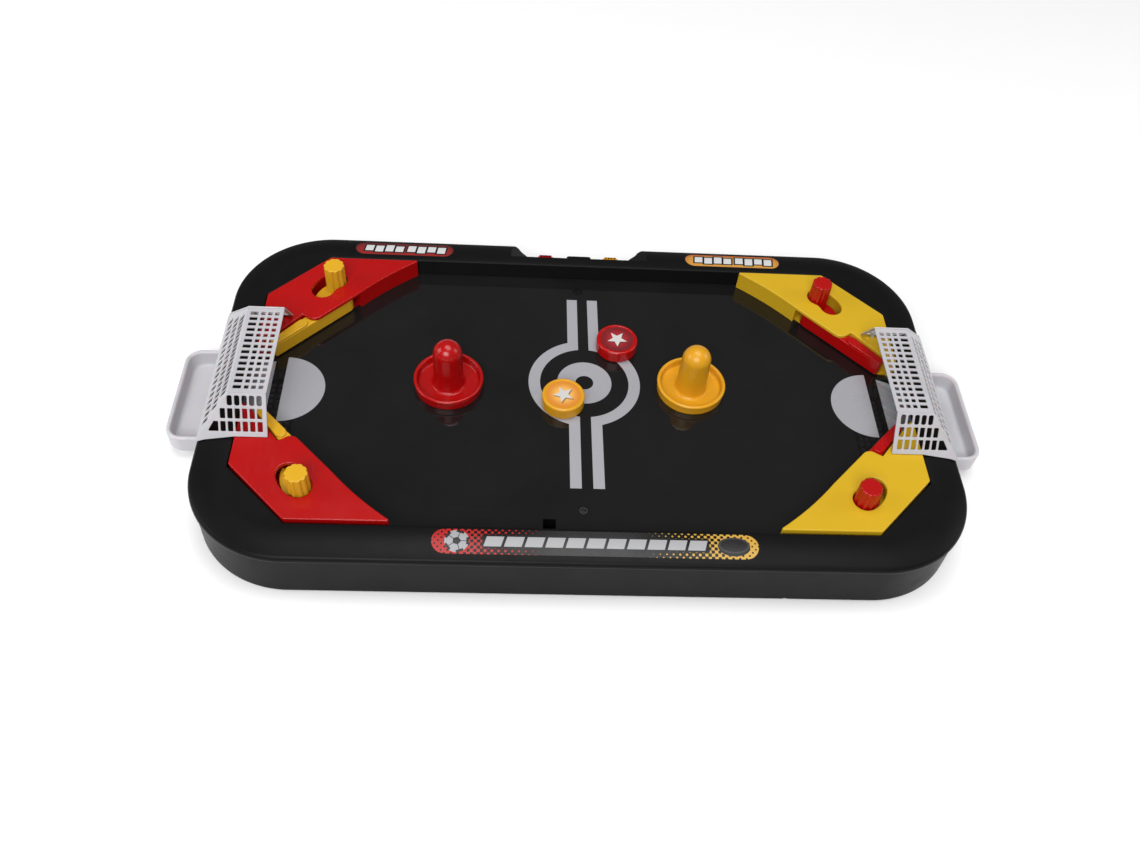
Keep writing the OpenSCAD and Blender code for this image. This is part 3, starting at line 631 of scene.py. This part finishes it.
def flipper(name, sx, sy):
    """Arm, pad and disc are plates with rounded edges, and the knob is a fluted turned form, all run together."""
    parts = Moulding()
    hub = [tuple(at(hub_r * math.cos(a), hub_r * math.sin(a))) for a in np.linspace(math.pi / 2, 3 * math.pi / 2, 15)]
    tip = [tuple(at(arm_l, -hub_r)), tuple(at(arm_l, tip_v))]
    arm = rounded(hub + tip, [0] * len(hub) + [1.4 * MM, 1.4 * MM])
    parts.plate(arm * (sx, sy), [], fillet(flipper_low.z, arm_top, 0.3 * MM, 0.6 * MM))
    start = 37.4 * MM
    pad = rounded([at(start, back_edge(start) - 0.25 * MM), at(start - 3.2 * MM, back_edge(start) - 1.8 * MM),
                   at(start - 3.2 * MM, 1.8 * MM - hub_r), at(start, 0.25 * MM - hub_r),
                   at(arm_l - 0.3 * MM, 0.25 * MM - hub_r), at(arm_l - 0.3 * MM, tip_v - 0.25 * MM)],
                  np.array([3, 3, 3, 3, 1.4, 1.4]) * MM)
    parts.plate(pad * (sx, sy), [], [(0, arm_top - 2 * MM), (0, arm_top + 0.9 * MM), (0.18 * MM, arm_top + 1.32 * MM),
                                     (0.6 * MM, arm_top + 1.5 * MM)])
    disc = np.concatenate([arc(pivot, 22.3 * MM, math.radians(-14), math.radians(92), 40), [pivot]])
    parts.plate(disc * (sx, sy), [], fillet(flipper_low.z + 0.3 * MM, disc_top, 0.2 * MM, 0.3 * MM))
    top, low = flipper_high.z, disc_top - 1 * MM
    top_r, edge = knob_r - 0.3 * MM, 0.7 * MM
    profile = [(0, low), (knob_r, low), (top_r, top - edge)]
    profile += [(top_r - edge * (1 - math.cos(a)), top - edge * (1 - math.sin(a)), 1 - 0.3 * a)
                for a in np.linspace(0.3, math.pi / 2, 5)]
    profile += [(top_r * 0.8, top, 0), (0, top, 0)]
    points, faces = turned_surface(profile, knob_at * (sx, sy), 160, flute=0.11)
    base = len(parts.points)
    parts.points = np.concatenate([parts.points, points.reshape(-1, 3)])
    parts.faces += (faces + base).tolist()
    piece = parts.piece(name)
    smooth_faces(piece, 38)
    return piece


for quarter, (sx, sy) in QUARTERS.items():
    arm = flipper("flipper_arm_" + quarter, sx, sy)
    dress(arm, arm_yellow if quarter[0] == "r" else gloss_red)
    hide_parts("flipper_" + quarter)
    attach(arm, "flipper_" + quarter)


# ---------------------------------------------------------------------------------------------
# Goal nets: stiff white lattice hoods, each moulded in one piece and pegged on the blocks. Top,
# back and leaning sides are plates full of rounded slots, with soft edges from the tool.

net_low, net_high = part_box("goal_net_right")
net_t = 1.0 * MM
net_front, net_top_x, net_back_x = net_low.x, 223 * MM, net_high.x
net_top_hw, net_foot_hw = 36.8 * MM, 53 * MM
net_foot_z = block_high.z + 0.05 * MM
net_back_z = field_z + 10.6 * MM


def slot_ring(x, y, w, h, r):
    """A rounded slot with its lower left corner at (x, y)."""
    return rounded([(x, y), (x + w, y), (x + w, y + h), (x, y + h)], r, 4)


def on_plane(origin, along, up, side=1):
    """Places plate points (u, v, w) at origin + u e1 + v e2 + w e3, with e1 towards along and e2 towards up."""
    origin, along, up = [np.array(p, float) for p in (origin, along, up)]
    e1 = (along - origin) / np.linalg.norm(along - origin)
    e3 = np.cross(e1, up - origin)
    e3 /= np.linalg.norm(e3)
    e2 = np.cross(e3, e1)
    return lambda points: origin + points[:, :1] * e1 + points[:, 1:2] * e2 + points[:, 2:] * (e3 * side)


def net_plates():
    """Outline, slots and place of each of the four plates of the net at the +X end."""
    edge = fillet(0, net_t, 0.22 * MM, 0.22 * MM, 3)
    top_w, rows_n = net_top_x - net_front, 14
    pitch = (2 * net_top_hw - 4.8 * MM) / rows_n
    slots = []
    for j in range(rows_n):
        v = 3.4 * MM + j * pitch
        slots += [slot_ring((2.6 + 4.5 * i) * MM, v, 2.8 * MM, pitch - 2 * MM, 0.35 * MM) for i in range(3)]
        slots.append(slot_ring(16.2 * MM, v, 5.1 * MM, pitch - 2 * MM, 0.35 * MM))
    ring = rounded([(0, 0), (top_w, 0), (top_w, 2 * net_top_hw), (0, 2 * net_top_hw)], 0.6 * MM)
    low = net_high.z - net_t
    yield ring, slots, edge, on_plane((net_front, -net_top_hw, low), (net_top_x, -net_top_hw, low),
                                      (net_front, net_top_hw, low))
    lean = (net_foot_hw - net_top_hw) / (net_high.z - net_foot_z)
    foot_y = net_foot_hw + lean * (net_foot_z - net_back_z)
    rise = math.hypot(net_back_x - net_top_x, net_high.z - net_back_z)
    shrink = (foot_y - net_top_hw) / rise
    row = (rise - 5.5 * MM) / 3
    slots = []
    for k in range(3):
        v = 3.5 * MM + k * row
        inset = shrink * (v + row) + 3.5 * MM
        step = (2 * foot_y - 2 * inset - 3.5 * MM) / 16
        slots += [slot_ring(inset + i * step, v, 3.5 * MM, row - 2 * MM, 0.8 * MM) for i in range(17)]
    ring = rounded([(0, 0), (2 * foot_y, 0), (2 * foot_y - shrink * rise, rise), (shrink * rise, rise)], 0.6 * MM)
    yield ring, slots, edge, on_plane((net_back_x, -foot_y, net_back_z), (net_back_x, foot_y, net_back_z),
                                      (net_top_x, -foot_y, net_high.z), side=-1)
    for sy in (-1, 1):
        h = math.hypot(net_high.z - net_foot_z, net_foot_hw - net_top_hw)
        scale = h / (net_high.z - net_foot_z)
        length = net_back_x - net_front
        slots = [slot_ring((2.7 + i * 4.55) * MM, (3.2 + k * 8.4) * MM, 3.2 * MM, 6.6 * MM,
                           (1.2 if k == 2 else 0.6) * MM)
                 for k in range(3) for i in range(6 if k < 2 else 5)]
        slots.append(rounded(np.array([(30, 3.2), (36.6, 3.2), (32.8, 9.8), (30, 9.8)]) * MM, 0.6 * MM))
        drop = (net_foot_z - net_back_z) * scale
        ring = rounded([(0, 0), (20.5 * MM, 0), (length - 6 * MM, -2.5 * MM), (length, -drop),
                        (net_top_x - net_front, h), (0, h)], 0.6 * MM)
        yield ring, slots, edge, on_plane((net_front, sy * net_foot_hw, net_foot_z),
                                          (net_back_x, sy * net_foot_hw, net_foot_z),
                                          (net_front, sy * net_top_hw, net_high.z), side=-sy)


def goal_net(name, sx):
    points, faces = [], []
    for ring, slots, edge, place in net_plates():
        plate = Moulding().plate(ring, slots, edge)
        base = sum(len(p) for p in points)
        points.append(place(plate.points) * (sx, 1, 1))
        faces += [[i + base for i in face] for face in plate.faces]
    for x in (207.5, 214):
        for sy in (-1, 1):
            peg = [(0, block_high.z - 2 * MM), (1.1 * MM, block_high.z - 2 * MM), (1.1 * MM, block_high.z + 1.4 * MM),
                   (0, block_high.z + 1.4 * MM)]
            spots, quads = turned_surface(peg, (sx * x * MM, sy * 51.5 * MM), 16)
            base = sum(len(p) for p in points)
            points.append(spots.reshape(-1, 3))
            faces += (quads + base).tolist()
    piece = mesh_piece(name, np.concatenate(points), faces)
    smooth_faces(piece, 40)
    return piece


def net_plastic():
    """Bright white plastic with a cool cast and a little light passing through the thin bars."""
    finish = Finish("net_white")
    cloud = finish.cloud(30, 3.0, 0, 1)
    finish.colour(finish.mix(cloud, (0.44, 0.43, 0.455), (0.50, 0.49, 0.515)))
    finish.rough(finish.cloud(90, 3.0, 0.3, 0.4))
    finish.bump(finish.noise(700, 2.0), 0.00003)
    finish.shader.inputs["Subsurface Weight"].default_value = 0.15
    finish.shader.inputs["Subsurface Scale"].default_value = 0.001
    return finish.material


net_white = net_plastic()
for side, sx in (("left", -1), ("right", 1)):
    net = goal_net("net_" + side, sx)
    dress(net, net_white)
    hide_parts("goal_net_" + side)
    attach(net, "table")


# ---------------------------------------------------------------------------------------------
# Goal trays: frosted white mouldings that slide in under the goals. Each has a ribbed ramp that
# leads down from the field and an open tray outside the table that catches the puck.

def tray_piece(name, sx):
    tray = Moulding()
    r = 11 * MM
    half, x0, x1 = tray_high.y, 236 * MM, tray_high.x
    ring = rounded([(x0, -half), (x1, -half), (x1, half), (x0, half)], [0, r, r, 0], 12) * (sx, 1)
    wall, floor = 3.2 * MM, tray_bottom + 2 * MM
    profile = fillet(tray_bottom, tray_top, 1.8 * MM, wall / 2, 6)[:-1]
    a = np.linspace(math.pi / 2, 0, 6)
    profile += [(wall - wall / 2 * (1 - math.cos(t)), tray_top - wall / 2 * (1 - math.sin(t))) for t in a]
    inner = 2.2 * MM
    profile += [(wall + 0.5 * MM + inner * (1 - math.cos(t)), floor + inner * (1 - math.sin(t)))
                for t in np.linspace(0, math.pi / 2, 6)]
    first, last = tray.wall(ring, profile)
    tray.cap(first)
    tray.cap(last)
    ramp_x, ramp_hw, ramp_end = 208.6 * MM, 23.9 * MM, 10.4 * MM
    rib_rise, rib_pitch, cheek_rise, cheek_w = 0.45 * MM, 8.5 * MM, 2.2 * MM, 1.6 * MM
    u, v = np.meshgrid(np.linspace(0, 1, 30), np.linspace(-1, 1, 121), indexing="ij")
    x = ramp_x + (x0 + 2 * MM - ramp_x) * u
    y = ramp_hw * v
    rib = rib_rise * np.clip(1 - np.abs((y / rib_pitch + 0.5) % 1 - 0.5) * 12, 0, 1) * np.clip(u * 20, 0, 1)
    cheek = cheek_rise * np.clip((np.abs(y) - ramp_hw + cheek_w) / (0.3 * MM), 0, 1) * np.clip(u * 3, 0, 1)
    z = field_z - 0.55 * MM + (ramp_end - field_z) * u + rib + cheek
    top = np.stack([x, y, z], 2)
    under = top - (0, 0, 1.8 * MM)
    loop = np.concatenate([top, under[:, ::-1]], 1)
    base = len(tray.points)
    tray.points = np.concatenate([tray.points, (loop * (sx, 1, 1)).reshape(-1, 3)])
    tray.faces += (grid_faces(loop.shape[0], loop.shape[1], False, True) + base).tolist()
    last_row = base + (loop.shape[0] - 1) * loop.shape[1]
    tray.faces.append(list(range(base, base + loop.shape[1])))
    tray.faces.append(list(range(last_row, last_row + loop.shape[1])))
    for sy in (-1, 1):
        tab = np.array([(224.5, sy * 31 - 4), (238, sy * 31 - 4), (238, sy * 31 + 4), (224.5, sy * 31 + 4)]) * MM
        tray.plate(tab * (sx, 1), [], [(0, tray_low.z), (0, tray_bottom + 1 * MM)])
    piece = tray.piece(name)
    smooth_faces(piece, 40)
    return piece


def frosted_plastic():
    """Milky, slightly see-through plastic with a fine frosted skin."""
    finish = Finish("tray_frosted")
    cloud = finish.cloud(25, 3.0, 0, 1)
    finish.colour(finish.mix(cloud, (0.64, 0.63, 0.665), (0.70, 0.69, 0.725)))
    finish.rough(finish.cloud(150, 4.0, 0.36, 0.5))
    finish.bump(finish.noise(1500, 3.0), 0.00004)
    finish.shader.inputs["Subsurface Weight"].default_value = 0.35
    finish.shader.inputs["Subsurface Scale"].default_value = 0.004
    finish.shader.inputs["Transmission Weight"].default_value = 0.25
    return finish.material


tray_frosted = frosted_plastic()
for side, sx in (("left", -1), ("right", 1)):
    tray = tray_piece("tray_" + side, sx)
    dress(tray, tray_frosted)
    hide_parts("goal_tray_" + side)
    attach(tray, "table")


# ---------------------------------------------------------------------------------------------
# Rim stickers: thin printed film on the crown. The long one at the front fades from dotted red to
# dotted yellow, with a row of slanting bars between a ball and a puck. The two at the back are
# pills in the teams' colours.

def sticker_film(name, node):
    """A pill-shaped film laid on the crown: rows across the pill, each as long as the pill is there,
    lifted by the film's thickness, with a rim that comes down to the shell."""
    low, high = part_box(node)
    centre, half_l, half_w = (low + high) / 2, (high.x - low.x) / 2, (high.y - low.y) / 2
    v, u = np.meshgrid(np.linspace(-1, 1, 25) * 0.999, np.linspace(-1, 1, 97), indexing="ij")
    reach = half_l - half_w + half_w * np.sqrt(1 - v * v)
    x, y = centre.x + reach * u, centre.y + half_w * v
    z = crown_height(np.stack([x.ravel(), y.ravel()], 1)).reshape(x.shape)
    top = np.stack([x, y, z + 0.18 * MM], 2)
    under = np.stack([x, y, z - 0.02 * MM], 2)
    rows, columns = x.shape
    faces = grid_faces(rows, columns, False, False)
    count = rows * columns
    ids = np.arange(count).reshape(rows, columns)
    rim = np.concatenate([ids[0], ids[1:, -1], ids[-1, -2::-1], ids[-2:0:-1, 0]])
    side = np.stack([rim, np.roll(rim, -1), np.roll(rim, -1) + count, rim + count], 1)
    piece = mesh_piece(name, np.concatenate([top.reshape(-1, 3), under.reshape(-1, 3)]),
                       np.concatenate([faces, faces[:, ::-1] + count, side]))
    smooth_faces(piece, 50)
    return piece, centre, half_l, half_w


def pill_distance(finish, px, py, half_l, half_w):
    """Distance in millimetres outside a pill: the length of (max(|x| - straight half, 0), y), less its radius."""
    straight = finish.math("MAXIMUM", finish.minus(finish.math("ABSOLUTE", px), half_l - half_w), 0.0)
    length = finish.length(straight, py)
    return finish.minus(length, half_w)


def box_distance(finish, px, py, x, y, half_l, half_w, slant=0.0):
    """Distance outside a box whose sides may lean: the larger of |x - slant y| - half length and |y| - half width."""
    dx = finish.minus(finish.minus(px, x), finish.times(py, slant))
    dy = finish.minus(py, y)
    return finish.math("MAXIMUM", finish.minus(finish.math("ABSOLUTE", dx), half_l),
                       finish.minus(finish.math("ABSOLUTE", dy), half_w))


def film_skin(finish, colour):
    """Printed film: its colour, a soft gloss that varies a little and a very fine grain."""
    finish.colour(colour)
    finish.rough(finish.cloud(120, 3.0, 0.22, 0.32))
    finish.shader.inputs["Specular IOR Level"].default_value = 0.2
    finish.bump(finish.noise(600, 2.0), 0.00002)
    return finish.material


def front_print(centre, half_l, half_w):
    """Halftone: ink where cos(pi (x + y) / 2) + cos(pi (x - y) / 2) is over a level that falls towards both ends."""
    finish = Finish("label_front_print")
    px, py = finish.from_centre(centre)
    half_l, half_w = half_l * 1000, half_w * 1000
    across = finish.math("COSINE", finish.times(finish.add(px, py), math.pi / 2))
    along = finish.math("COSINE", finish.times(finish.minus(px, py), math.pi / 2))
    icon_x, fold_half = 83.0, math.radians(36)
    edge_in = finish.minus(half_l, finish.math("ABSOLUTE", px))
    level = finish.spread(edge_in, 2, 67, -1.3, 2.05)
    inked = finish.spread(finish.minus(finish.add(across, along), level), -0.12, 0.12, 0, 1)
    band = box_distance(finish, px, py, 0, 0, 68, 4.6)
    inked = finish.times(inked, finish.spread(band, -0.4, 0.4, 0, 1))
    sheen = finish.spread(finish.math("ABSOLUTE", px), 10, 62, 1, 0, smooth=True)
    ground = finish.mix(sheen, (0.005, 0.005, 0.0055), (0.028, 0.028, 0.029))
    team = finish.mix(finish.spread(px, -1, 1, 1, 0), (0.56, 0.33, 0.06), (0.40, 0.02, 0.018))
    film = finish.mix(inked, ground, team)
    bars = None
    for x0 in np.linspace(-61, 61, 11):
        bar = box_distance(finish, px, py, float(x0), 0, 5.2, 3.3, 0.3)
        bars = bar if bars is None else finish.math("MINIMUM", bars, bar)
    film = finish.mix(finish.spread(bars, 0.08, -0.08, 0, 1), film, (0.36, 0.36, 0.37))
    spot = finish.add(px, icon_x)
    r = finish.length(spot, py)
    turn = finish.math("MODULO", finish.add(finish.math("ARCTAN2", py, spot), 4 * math.pi), 2 * fold_half)
    fold = finish.apart(turn, fold_half)
    facet = finish.times(r, finish.math("COSINE", fold))
    corner = finish.minus(fold_half, fold)
    seam = finish.times(r, finish.math("SINE", corner))
    reach = finish.times(r, finish.math("COSINE", corner))
    notch = finish.math("MAXIMUM", finish.minus(5.7, reach), finish.minus(seam, 2.3))
    dark = finish.math("MINIMUM", finish.minus(facet, 2.2), finish.minus(seam, 0.22))
    dark = finish.math("MINIMUM", dark, notch)
    ball = finish.mix(finish.spread(dark, 0.1, -0.1, 0, 1), (0.34, 0.34, 0.36), (0.02, 0.02, 0.02))
    film = finish.mix(finish.spread(r, 7.35, 7.2, 0, 1), film, ball)
    for drop, half_x, half_y, shade in ((0.9, 9.7, 5.6, 0.012), (-0.6, 9.7, 5.4, 0.045), (-0.6, 8.2, 4.3, 0.02)):
        ex = finish.math("DIVIDE", finish.minus(px, icon_x), half_x)
        ey = finish.math("DIVIDE", finish.add(py, drop), half_y)
        oval = finish.add(finish.times(ex, ex), finish.times(ey, ey))
        film = finish.mix(finish.spread(oval, 1.03, 0.97, 0, 1), film, (shade, shade, shade * 1.05))
    return film_skin(finish, film)


def team_print(name, centre, half_l, half_w, outer, inner, glow):
    """Team pill: a glow from the rim's colour to the middle's, with a row of slanting blocks in outline."""
    finish = Finish(name)
    px, py = finish.from_centre(centre)
    half_l, half_w = half_l * 1000, half_w * 1000
    d = pill_distance(finish, px, py, half_l, half_w)
    film = finish.mix(finish.spread(d, -half_w * 0.6, -0.8, 1, 0, smooth=True), outer, inner)
    film = finish.mix(finish.spread(py, half_w, -half_w, 0, 0.8), film, glow)
    film = finish.mix(finish.spread(d, -0.9, -0.6, 0, 1), film, (0.01, 0.01, 0.011))
    blocks = None
    for i in range(8):
        x0 = -25.5 + 7.3 * i + (0 if i < 4 else 1.5)
        bar = box_distance(finish, px, py, x0, 0.4 * (-1) ** i, 2.9, 3.3 + 0.3 * (i % 3), 0.12)
        blocks = bar if blocks is None else finish.math("MINIMUM", blocks, bar)
    film = finish.mix(finish.spread(blocks, 1.3, 1.0, 0, 1), film, (0.012, 0.01, 0.01))
    film = finish.mix(finish.spread(blocks, 0.1, -0.1, 0, 1), film, (0.6, 0.6, 0.6))
    return film_skin(finish, film)


for node, outer, inner, glow in (("label_red", (0.07, 0.012, 0.012), (0.17, 0.02, 0.02), (0.33, 0.025, 0.022)),
                                 ("label_yellow", (0.42, 0.09, 0.03), (0.50, 0.22, 0.045), (0.62, 0.33, 0.06)),
                                 ("label_front", None, None, None)):
    film, centre, half_l, half_w = sticker_film("sticker_" + node[6:], node)
    dress(film, team_print(node + "_print", centre, half_l, half_w, outer, inner, glow) if outer
          else front_print(centre, half_l, half_w))
    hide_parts(node)
    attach(film, "table")


# ---------------------------------------------------------------------------------------------
# Score sliders: small toothed caps, one in each team's colour, that run in slots in the pocket.

def score_cap(name, node):
    """The cap's side view, a block with five rounded teeth on top, carried from its back to its front."""
    low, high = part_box(node)
    x0, x1 = low.x, high.x
    base = pocket_z + 0.3 * MM
    teeth = np.linspace(x0 + 0.5 * MM, x1 - 0.5 * MM, 61)
    turns = 5 * (teeth - teeth[0]) / (teeth[-1] - teeth[0])
    wave = high.z - 1.5 * MM * (0.5 - 0.5 * np.cos(turns * 2 * math.pi + math.pi))
    ring = np.concatenate([[(x0, base), (x1, base), (x1, high.z - 2 * MM)],
                           np.stack([teeth, wave], 1)[::-1], [(x0, high.z - 2 * MM)]])
    cap = Moulding().plate(ring, [], fillet(low.y, high.y, 0.4 * MM, 0.4 * MM, 3))
    left, right, neck = x0 + 2.3 * MM, x1 - 2.3 * MM, base + 0.2 * MM
    tongue = [(left, low.z), (right, low.z), (right, neck), (left, neck)]
    middle = (low.y + high.y) / 2
    cap.plate(tongue, [], [(0, middle - 1.3 * MM), (0, middle + 1.3 * MM)])
    piece = cap.piece(name, upright)
    smooth_faces(piece, 35)
    return piece


for team, material in (("red", gloss_red), ("yellow", gloss_amber)):
    cap = score_cap("score_cap_" + team, "score_slider_" + team)
    dress(cap, material)
    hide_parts("score_slider_" + team)
    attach(cap, "score_slider_" + team)


# ---------------------------------------------------------------------------------------------
# Hand pushers: glossy mouldings, each a shallow cup with a rolled lip and a domed handle in its
# middle, hollow underneath.

def pusher(name, node):
    """Turned form: foot, outer wall, rolled lip, cup, fillet into a slightly tapered handle, and a round dome."""
    low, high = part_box(node)
    centre = (low + high) / 2
    r, z0, top = (high.x - low.x) / 2, low.z, high.z
    lip, handle = 7.6 * MM, 9.7 * MM
    profile = [(0, z0 + 1.9 * MM), (r - 2.6 * MM, z0 + 1.9 * MM), (r - 2.2 * MM, z0 + 1.4 * MM),
               (r - 2.0 * MM, z0 + 0.1 * MM), (r - 1.7 * MM, z0), (r - 0.9 * MM, z0),
               (r - 0.6 * MM, z0 + 0.4 * MM), (r - 0.5 * MM, z0 + 4.6 * MM)]
    roll = 1.3 * MM
    profile += [(r - roll + roll * math.cos(a), z0 + lip - roll + roll * math.sin(a))
                for a in np.radians(np.linspace(-40, 180, 14))]
    inner, foot = 1.5 * MM, 2.0 * MM
    profile += [(r - 2.9 * MM - inner * (1 - math.cos(a)), z0 + foot + inner * (1 - math.sin(a)))
                for a in np.radians([0, 22.5, 45, 67.5, 90])]
    profile += [(handle + 0.6 * MM + 2.4 * MM * (1 - math.sin(a)), z0 + foot + 2.4 * MM * (1 - math.cos(a)))
                for a in np.radians([0, 22.5, 45, 67.5, 90])]
    dome_z = top - handle
    profile += [(handle + 0.5 * MM, z0 + 12 * MM), (handle, dome_z)]
    profile += [(handle * math.cos(a), dome_z + handle * math.sin(a)) for a in np.radians(np.linspace(8, 90, 14))]
    points, faces = turned_surface(profile, centre, 128)
    piece = mesh_piece(name, points, faces)
    smooth_faces(piece, 50)
    return piece


for team, material in (("red", gloss_red), ("yellow", gloss_amber)):
    grip = pusher("hand_pusher_" + team, "pusher_" + team)
    dress(grip, material)
    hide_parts("pusher_" + team)
    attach(grip, "pusher_" + team)


# ---------------------------------------------------------------------------------------------
# Pucks: glossy discs with rounded edges and a sticker let into the top. The sticker has a white
# five-pointed star on a glow of the team's colour.

def puck(name, node):
    """Turned form: flat foot, rounded edge, raised ring, and a shallow seat for the sticker."""
    low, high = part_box(node)
    centre = (low + high) / 2
    r, z0, z1 = (high.x - low.x) / 2, low.z, high.z
    edge, seat_r, seat_z = 1.4 * MM, 12.4 * MM, high.z - 0.5 * MM
    profile = [(0, z0 + 0.3 * MM), (r - 2.6 * MM, z0 + 0.3 * MM), (r - 2.2 * MM, z0)]
    for middle, start in ((z0 + edge, -90), (z1 - edge, 0)):
        profile += [(r - edge + edge * math.cos(a), middle + edge * math.sin(a))
                    for a in np.radians(np.linspace(start, start + 90, 6))]
    profile += [(seat_r + 0.25 * MM, z1), (seat_r, z1 - 0.2 * MM), (seat_r - 0.1 * MM, seat_z), (0, seat_z)]
    points, faces = turned_surface(profile, centre, 120)
    piece = mesh_piece(name, points, faces)
    smooth_faces(piece, 50)
    return piece


def star_print(name, centre, dark, bright, turn):
    """Star: angles folded to one point, |((a + 36) mod 72) - 36|, then the side from tip to notch as a half plane."""
    finish = Finish(name)
    px, py = finish.from_centre(centre)

    def star(dx, dy, tip, notch):
        sx, sy = finish.minus(px, dx), finish.minus(py, dy)
        r = finish.length(sx, sy)
        half = math.radians(36)
        a = finish.add(finish.math("ARCTAN2", sy, sx), math.radians(18 + turn) + 4 * math.pi)
        fold = finish.math("ABSOLUTE", finish.minus(finish.math("MODULO", a, 2 * half), half))
        fold = finish.minus(half, fold)
        nx, ny = notch * math.sin(half), tip - notch * math.cos(half)
        size = math.hypot(nx, ny)
        across = finish.add(finish.times(finish.math("COSINE", fold), nx / size),
                            finish.times(finish.math("SINE", fold), ny / size))
        return finish.minus(finish.times(r, across), tip * nx / size)

    r = finish.length(px, py)
    film = finish.mix(finish.spread(r, 3.5, 10.8, 0, 1, smooth=True), bright, dark)
    film = finish.mix(finish.spread(star(0.5, -0.8, 7.3, 3.2), 0.5, -0.4, 0, 0.75), film, (0.04, 0.015, 0.01))
    film = finish.mix(finish.spread(star(0, 0, 7.2, 3.1), 0.09, -0.09, 0, 1), film, (0.56, 0.55, 0.53))
    groove = finish.spread(finish.apart(r, 10.6), 0.3, 0.2, 0, 0.7)
    film = finish.mix(groove, film, dark)
    finish.colour(film)
    finish.rough(finish.cloud(160, 3.0, 0.28, 0.38))
    finish.bump(finish.noise(900, 2.0), 0.00002)
    return finish.material


for team, body, dark, bright, turn in (("red", gloss_red, (0.16, 0.008, 0.012), (0.36, 0.012, 0.02), 0),
                                       ("yellow", gloss_amber, (0.62, 0.22, 0.02), (0.80, 0.42, 0.10), 12)):
    disc = puck("puck_disc_" + team, "puck_" + team)
    dress(disc, body)
    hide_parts("puck_" + team)
    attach(disc, "puck_" + team)
    low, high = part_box("puck_sticker_" + team)
    dress(frame["nodes"]["puck_sticker_" + team], star_print("star_" + team, (low + high) / 2, dark, bright, turn))


# ---------------------------------------------------------------------------------------------
# Underside and fixings: a ribbed black cover, rubber pads, zinc-plated screws, steel pins and
# springs. They keep their CAD shapes and take finishes of their own.

def plated_steel(name, colour, rough, stretch):
    """Plated wire and screw steel: a metal whose gloss runs in fine lines along stretch."""
    finish = Finish(name)
    lines = finish.noise(900, 3.0, stretch)
    finish.colour(finish.mix(finish.spread(lines, 0.3, 0.7, 0, 1), tuple(c * 0.85 for c in colour), colour))
    finish.rough(finish.spread(lines, 0.3, 0.7, rough - 0.06, rough + 0.08))
    finish.bump(lines, 0.00001)
    finish.shader.inputs["Metallic"].default_value = 1.0
    return finish.material


zinc = plated_steel("zinc_plate", (0.62, 0.62, 0.6), 0.3, (1, 1, 0.2))
black_steel = plated_steel("black_steel", (0.05, 0.05, 0.052), 0.32, (1, 1, 0.2))
wire = plated_steel("spring_wire", (0.55, 0.55, 0.56), 0.25, (0.2, 0.2, 1))
cover_black = moulded_plastic("cover_black", (0.03, 0.03, 0.032), 0.5, grain=0.00006, grain_scale=700)
pad_rubber = moulded_plastic("pad_rubber", (0.035, 0.035, 0.036), 0.75, grain=0.0001, grain_scale=500)
for node, material in (("bottom_cover", cover_black), ("rubber_feet", pad_rubber), ("cover_screws", zinc),
                       ("block_screws", zinc), ("tray_screws", zinc), ("pivot_pins", zinc),
                       ("panel_screws", black_steel), ("return_springs", wire)):
    dress(frame["nodes"][node], material)


# ---------------------------------------------------------------------------------------------
# Stage: a pale floor, soft boxes above and to the sides, and a camera over the left front corner.

floor = mesh_piece("floor", np.array([(-3, -3, 0), (3, -3, 0), (3, 3, 0), (-3, 3, 0)], float), [(0, 1, 2, 3)])
floor_finish = Finish("pale_floor")
floor_finish.colour(floor_finish.mix(floor_finish.noise(3, 2.0), (0.92, 0.92, 0.92), (0.94, 0.94, 0.94)))
floor_finish.rough(0.85)
dress(floor, floor_finish.material)

world = bpy.data.worlds.new("studio")
world.use_nodes = True
world.node_tree.nodes["Background"].inputs["Color"].default_value = (1, 1, 1, 1)
world.node_tree.nodes["Background"].inputs["Strength"].default_value = 0.15
bpy.context.scene.world = world
bpy.context.scene.view_settings.view_transform = "Standard"


def soft_box(name, spot, aim, width, height, power):
    light = bpy.data.lights.new(name, "AREA")
    light.shape = "RECTANGLE"
    light.size, light.size_y = width, height
    light.energy = power
    box = bpy.data.objects.new(name, light)
    box.location = spot
    box.rotation_euler = (Vector(aim) - Vector(spot)).to_track_quat("-Z", "Y").to_euler()
    bpy.context.scene.collection.objects.link(box)


soft_box("front_box", (-0.5, -1.9, 1.9), (0, 0, 0), 1.8, 1.2, 54)
soft_box("top_box", (0.1, 0.2, 2.5), (0, 0.1, 0), 1.8, 1.3, 34)
soft_box("left_box", (-1.6, 0, 0.9), (0, 0, 0.03), 0.8, 0.8, 7)
soft_box("right_box", (1.6, 0.1, 0.9), (0, 0, 0.03), 0.8, 0.8, 5)

camera_data = bpy.data.cameras.new("camera")
camera_data.sensor_width = 36
camera_data.lens = 32.7
camera = bpy.data.objects.new("camera", camera_data)
pan, tilt, roll = math.radians(5.41), math.radians(51.3), math.radians(5.8)
aim = Vector((-8.5 * MM, -27.6 * MM, field_z))
distance = 687 * MM
forward = Vector((math.sin(pan) * math.cos(tilt), math.cos(pan) * math.cos(tilt), -math.sin(tilt)))
level = forward.cross(Vector((0, 0, 1))).normalized()
right = level * math.cos(roll) + level.cross(forward) * math.sin(roll)
turn = Matrix((right, right.cross(forward), -forward)).transposed().to_4x4()
camera.matrix_world = Matrix.Translation(aim - forward * distance) @ turn
bpy.context.scene.collection.objects.link(camera)
bpy.context.scene.camera = camera
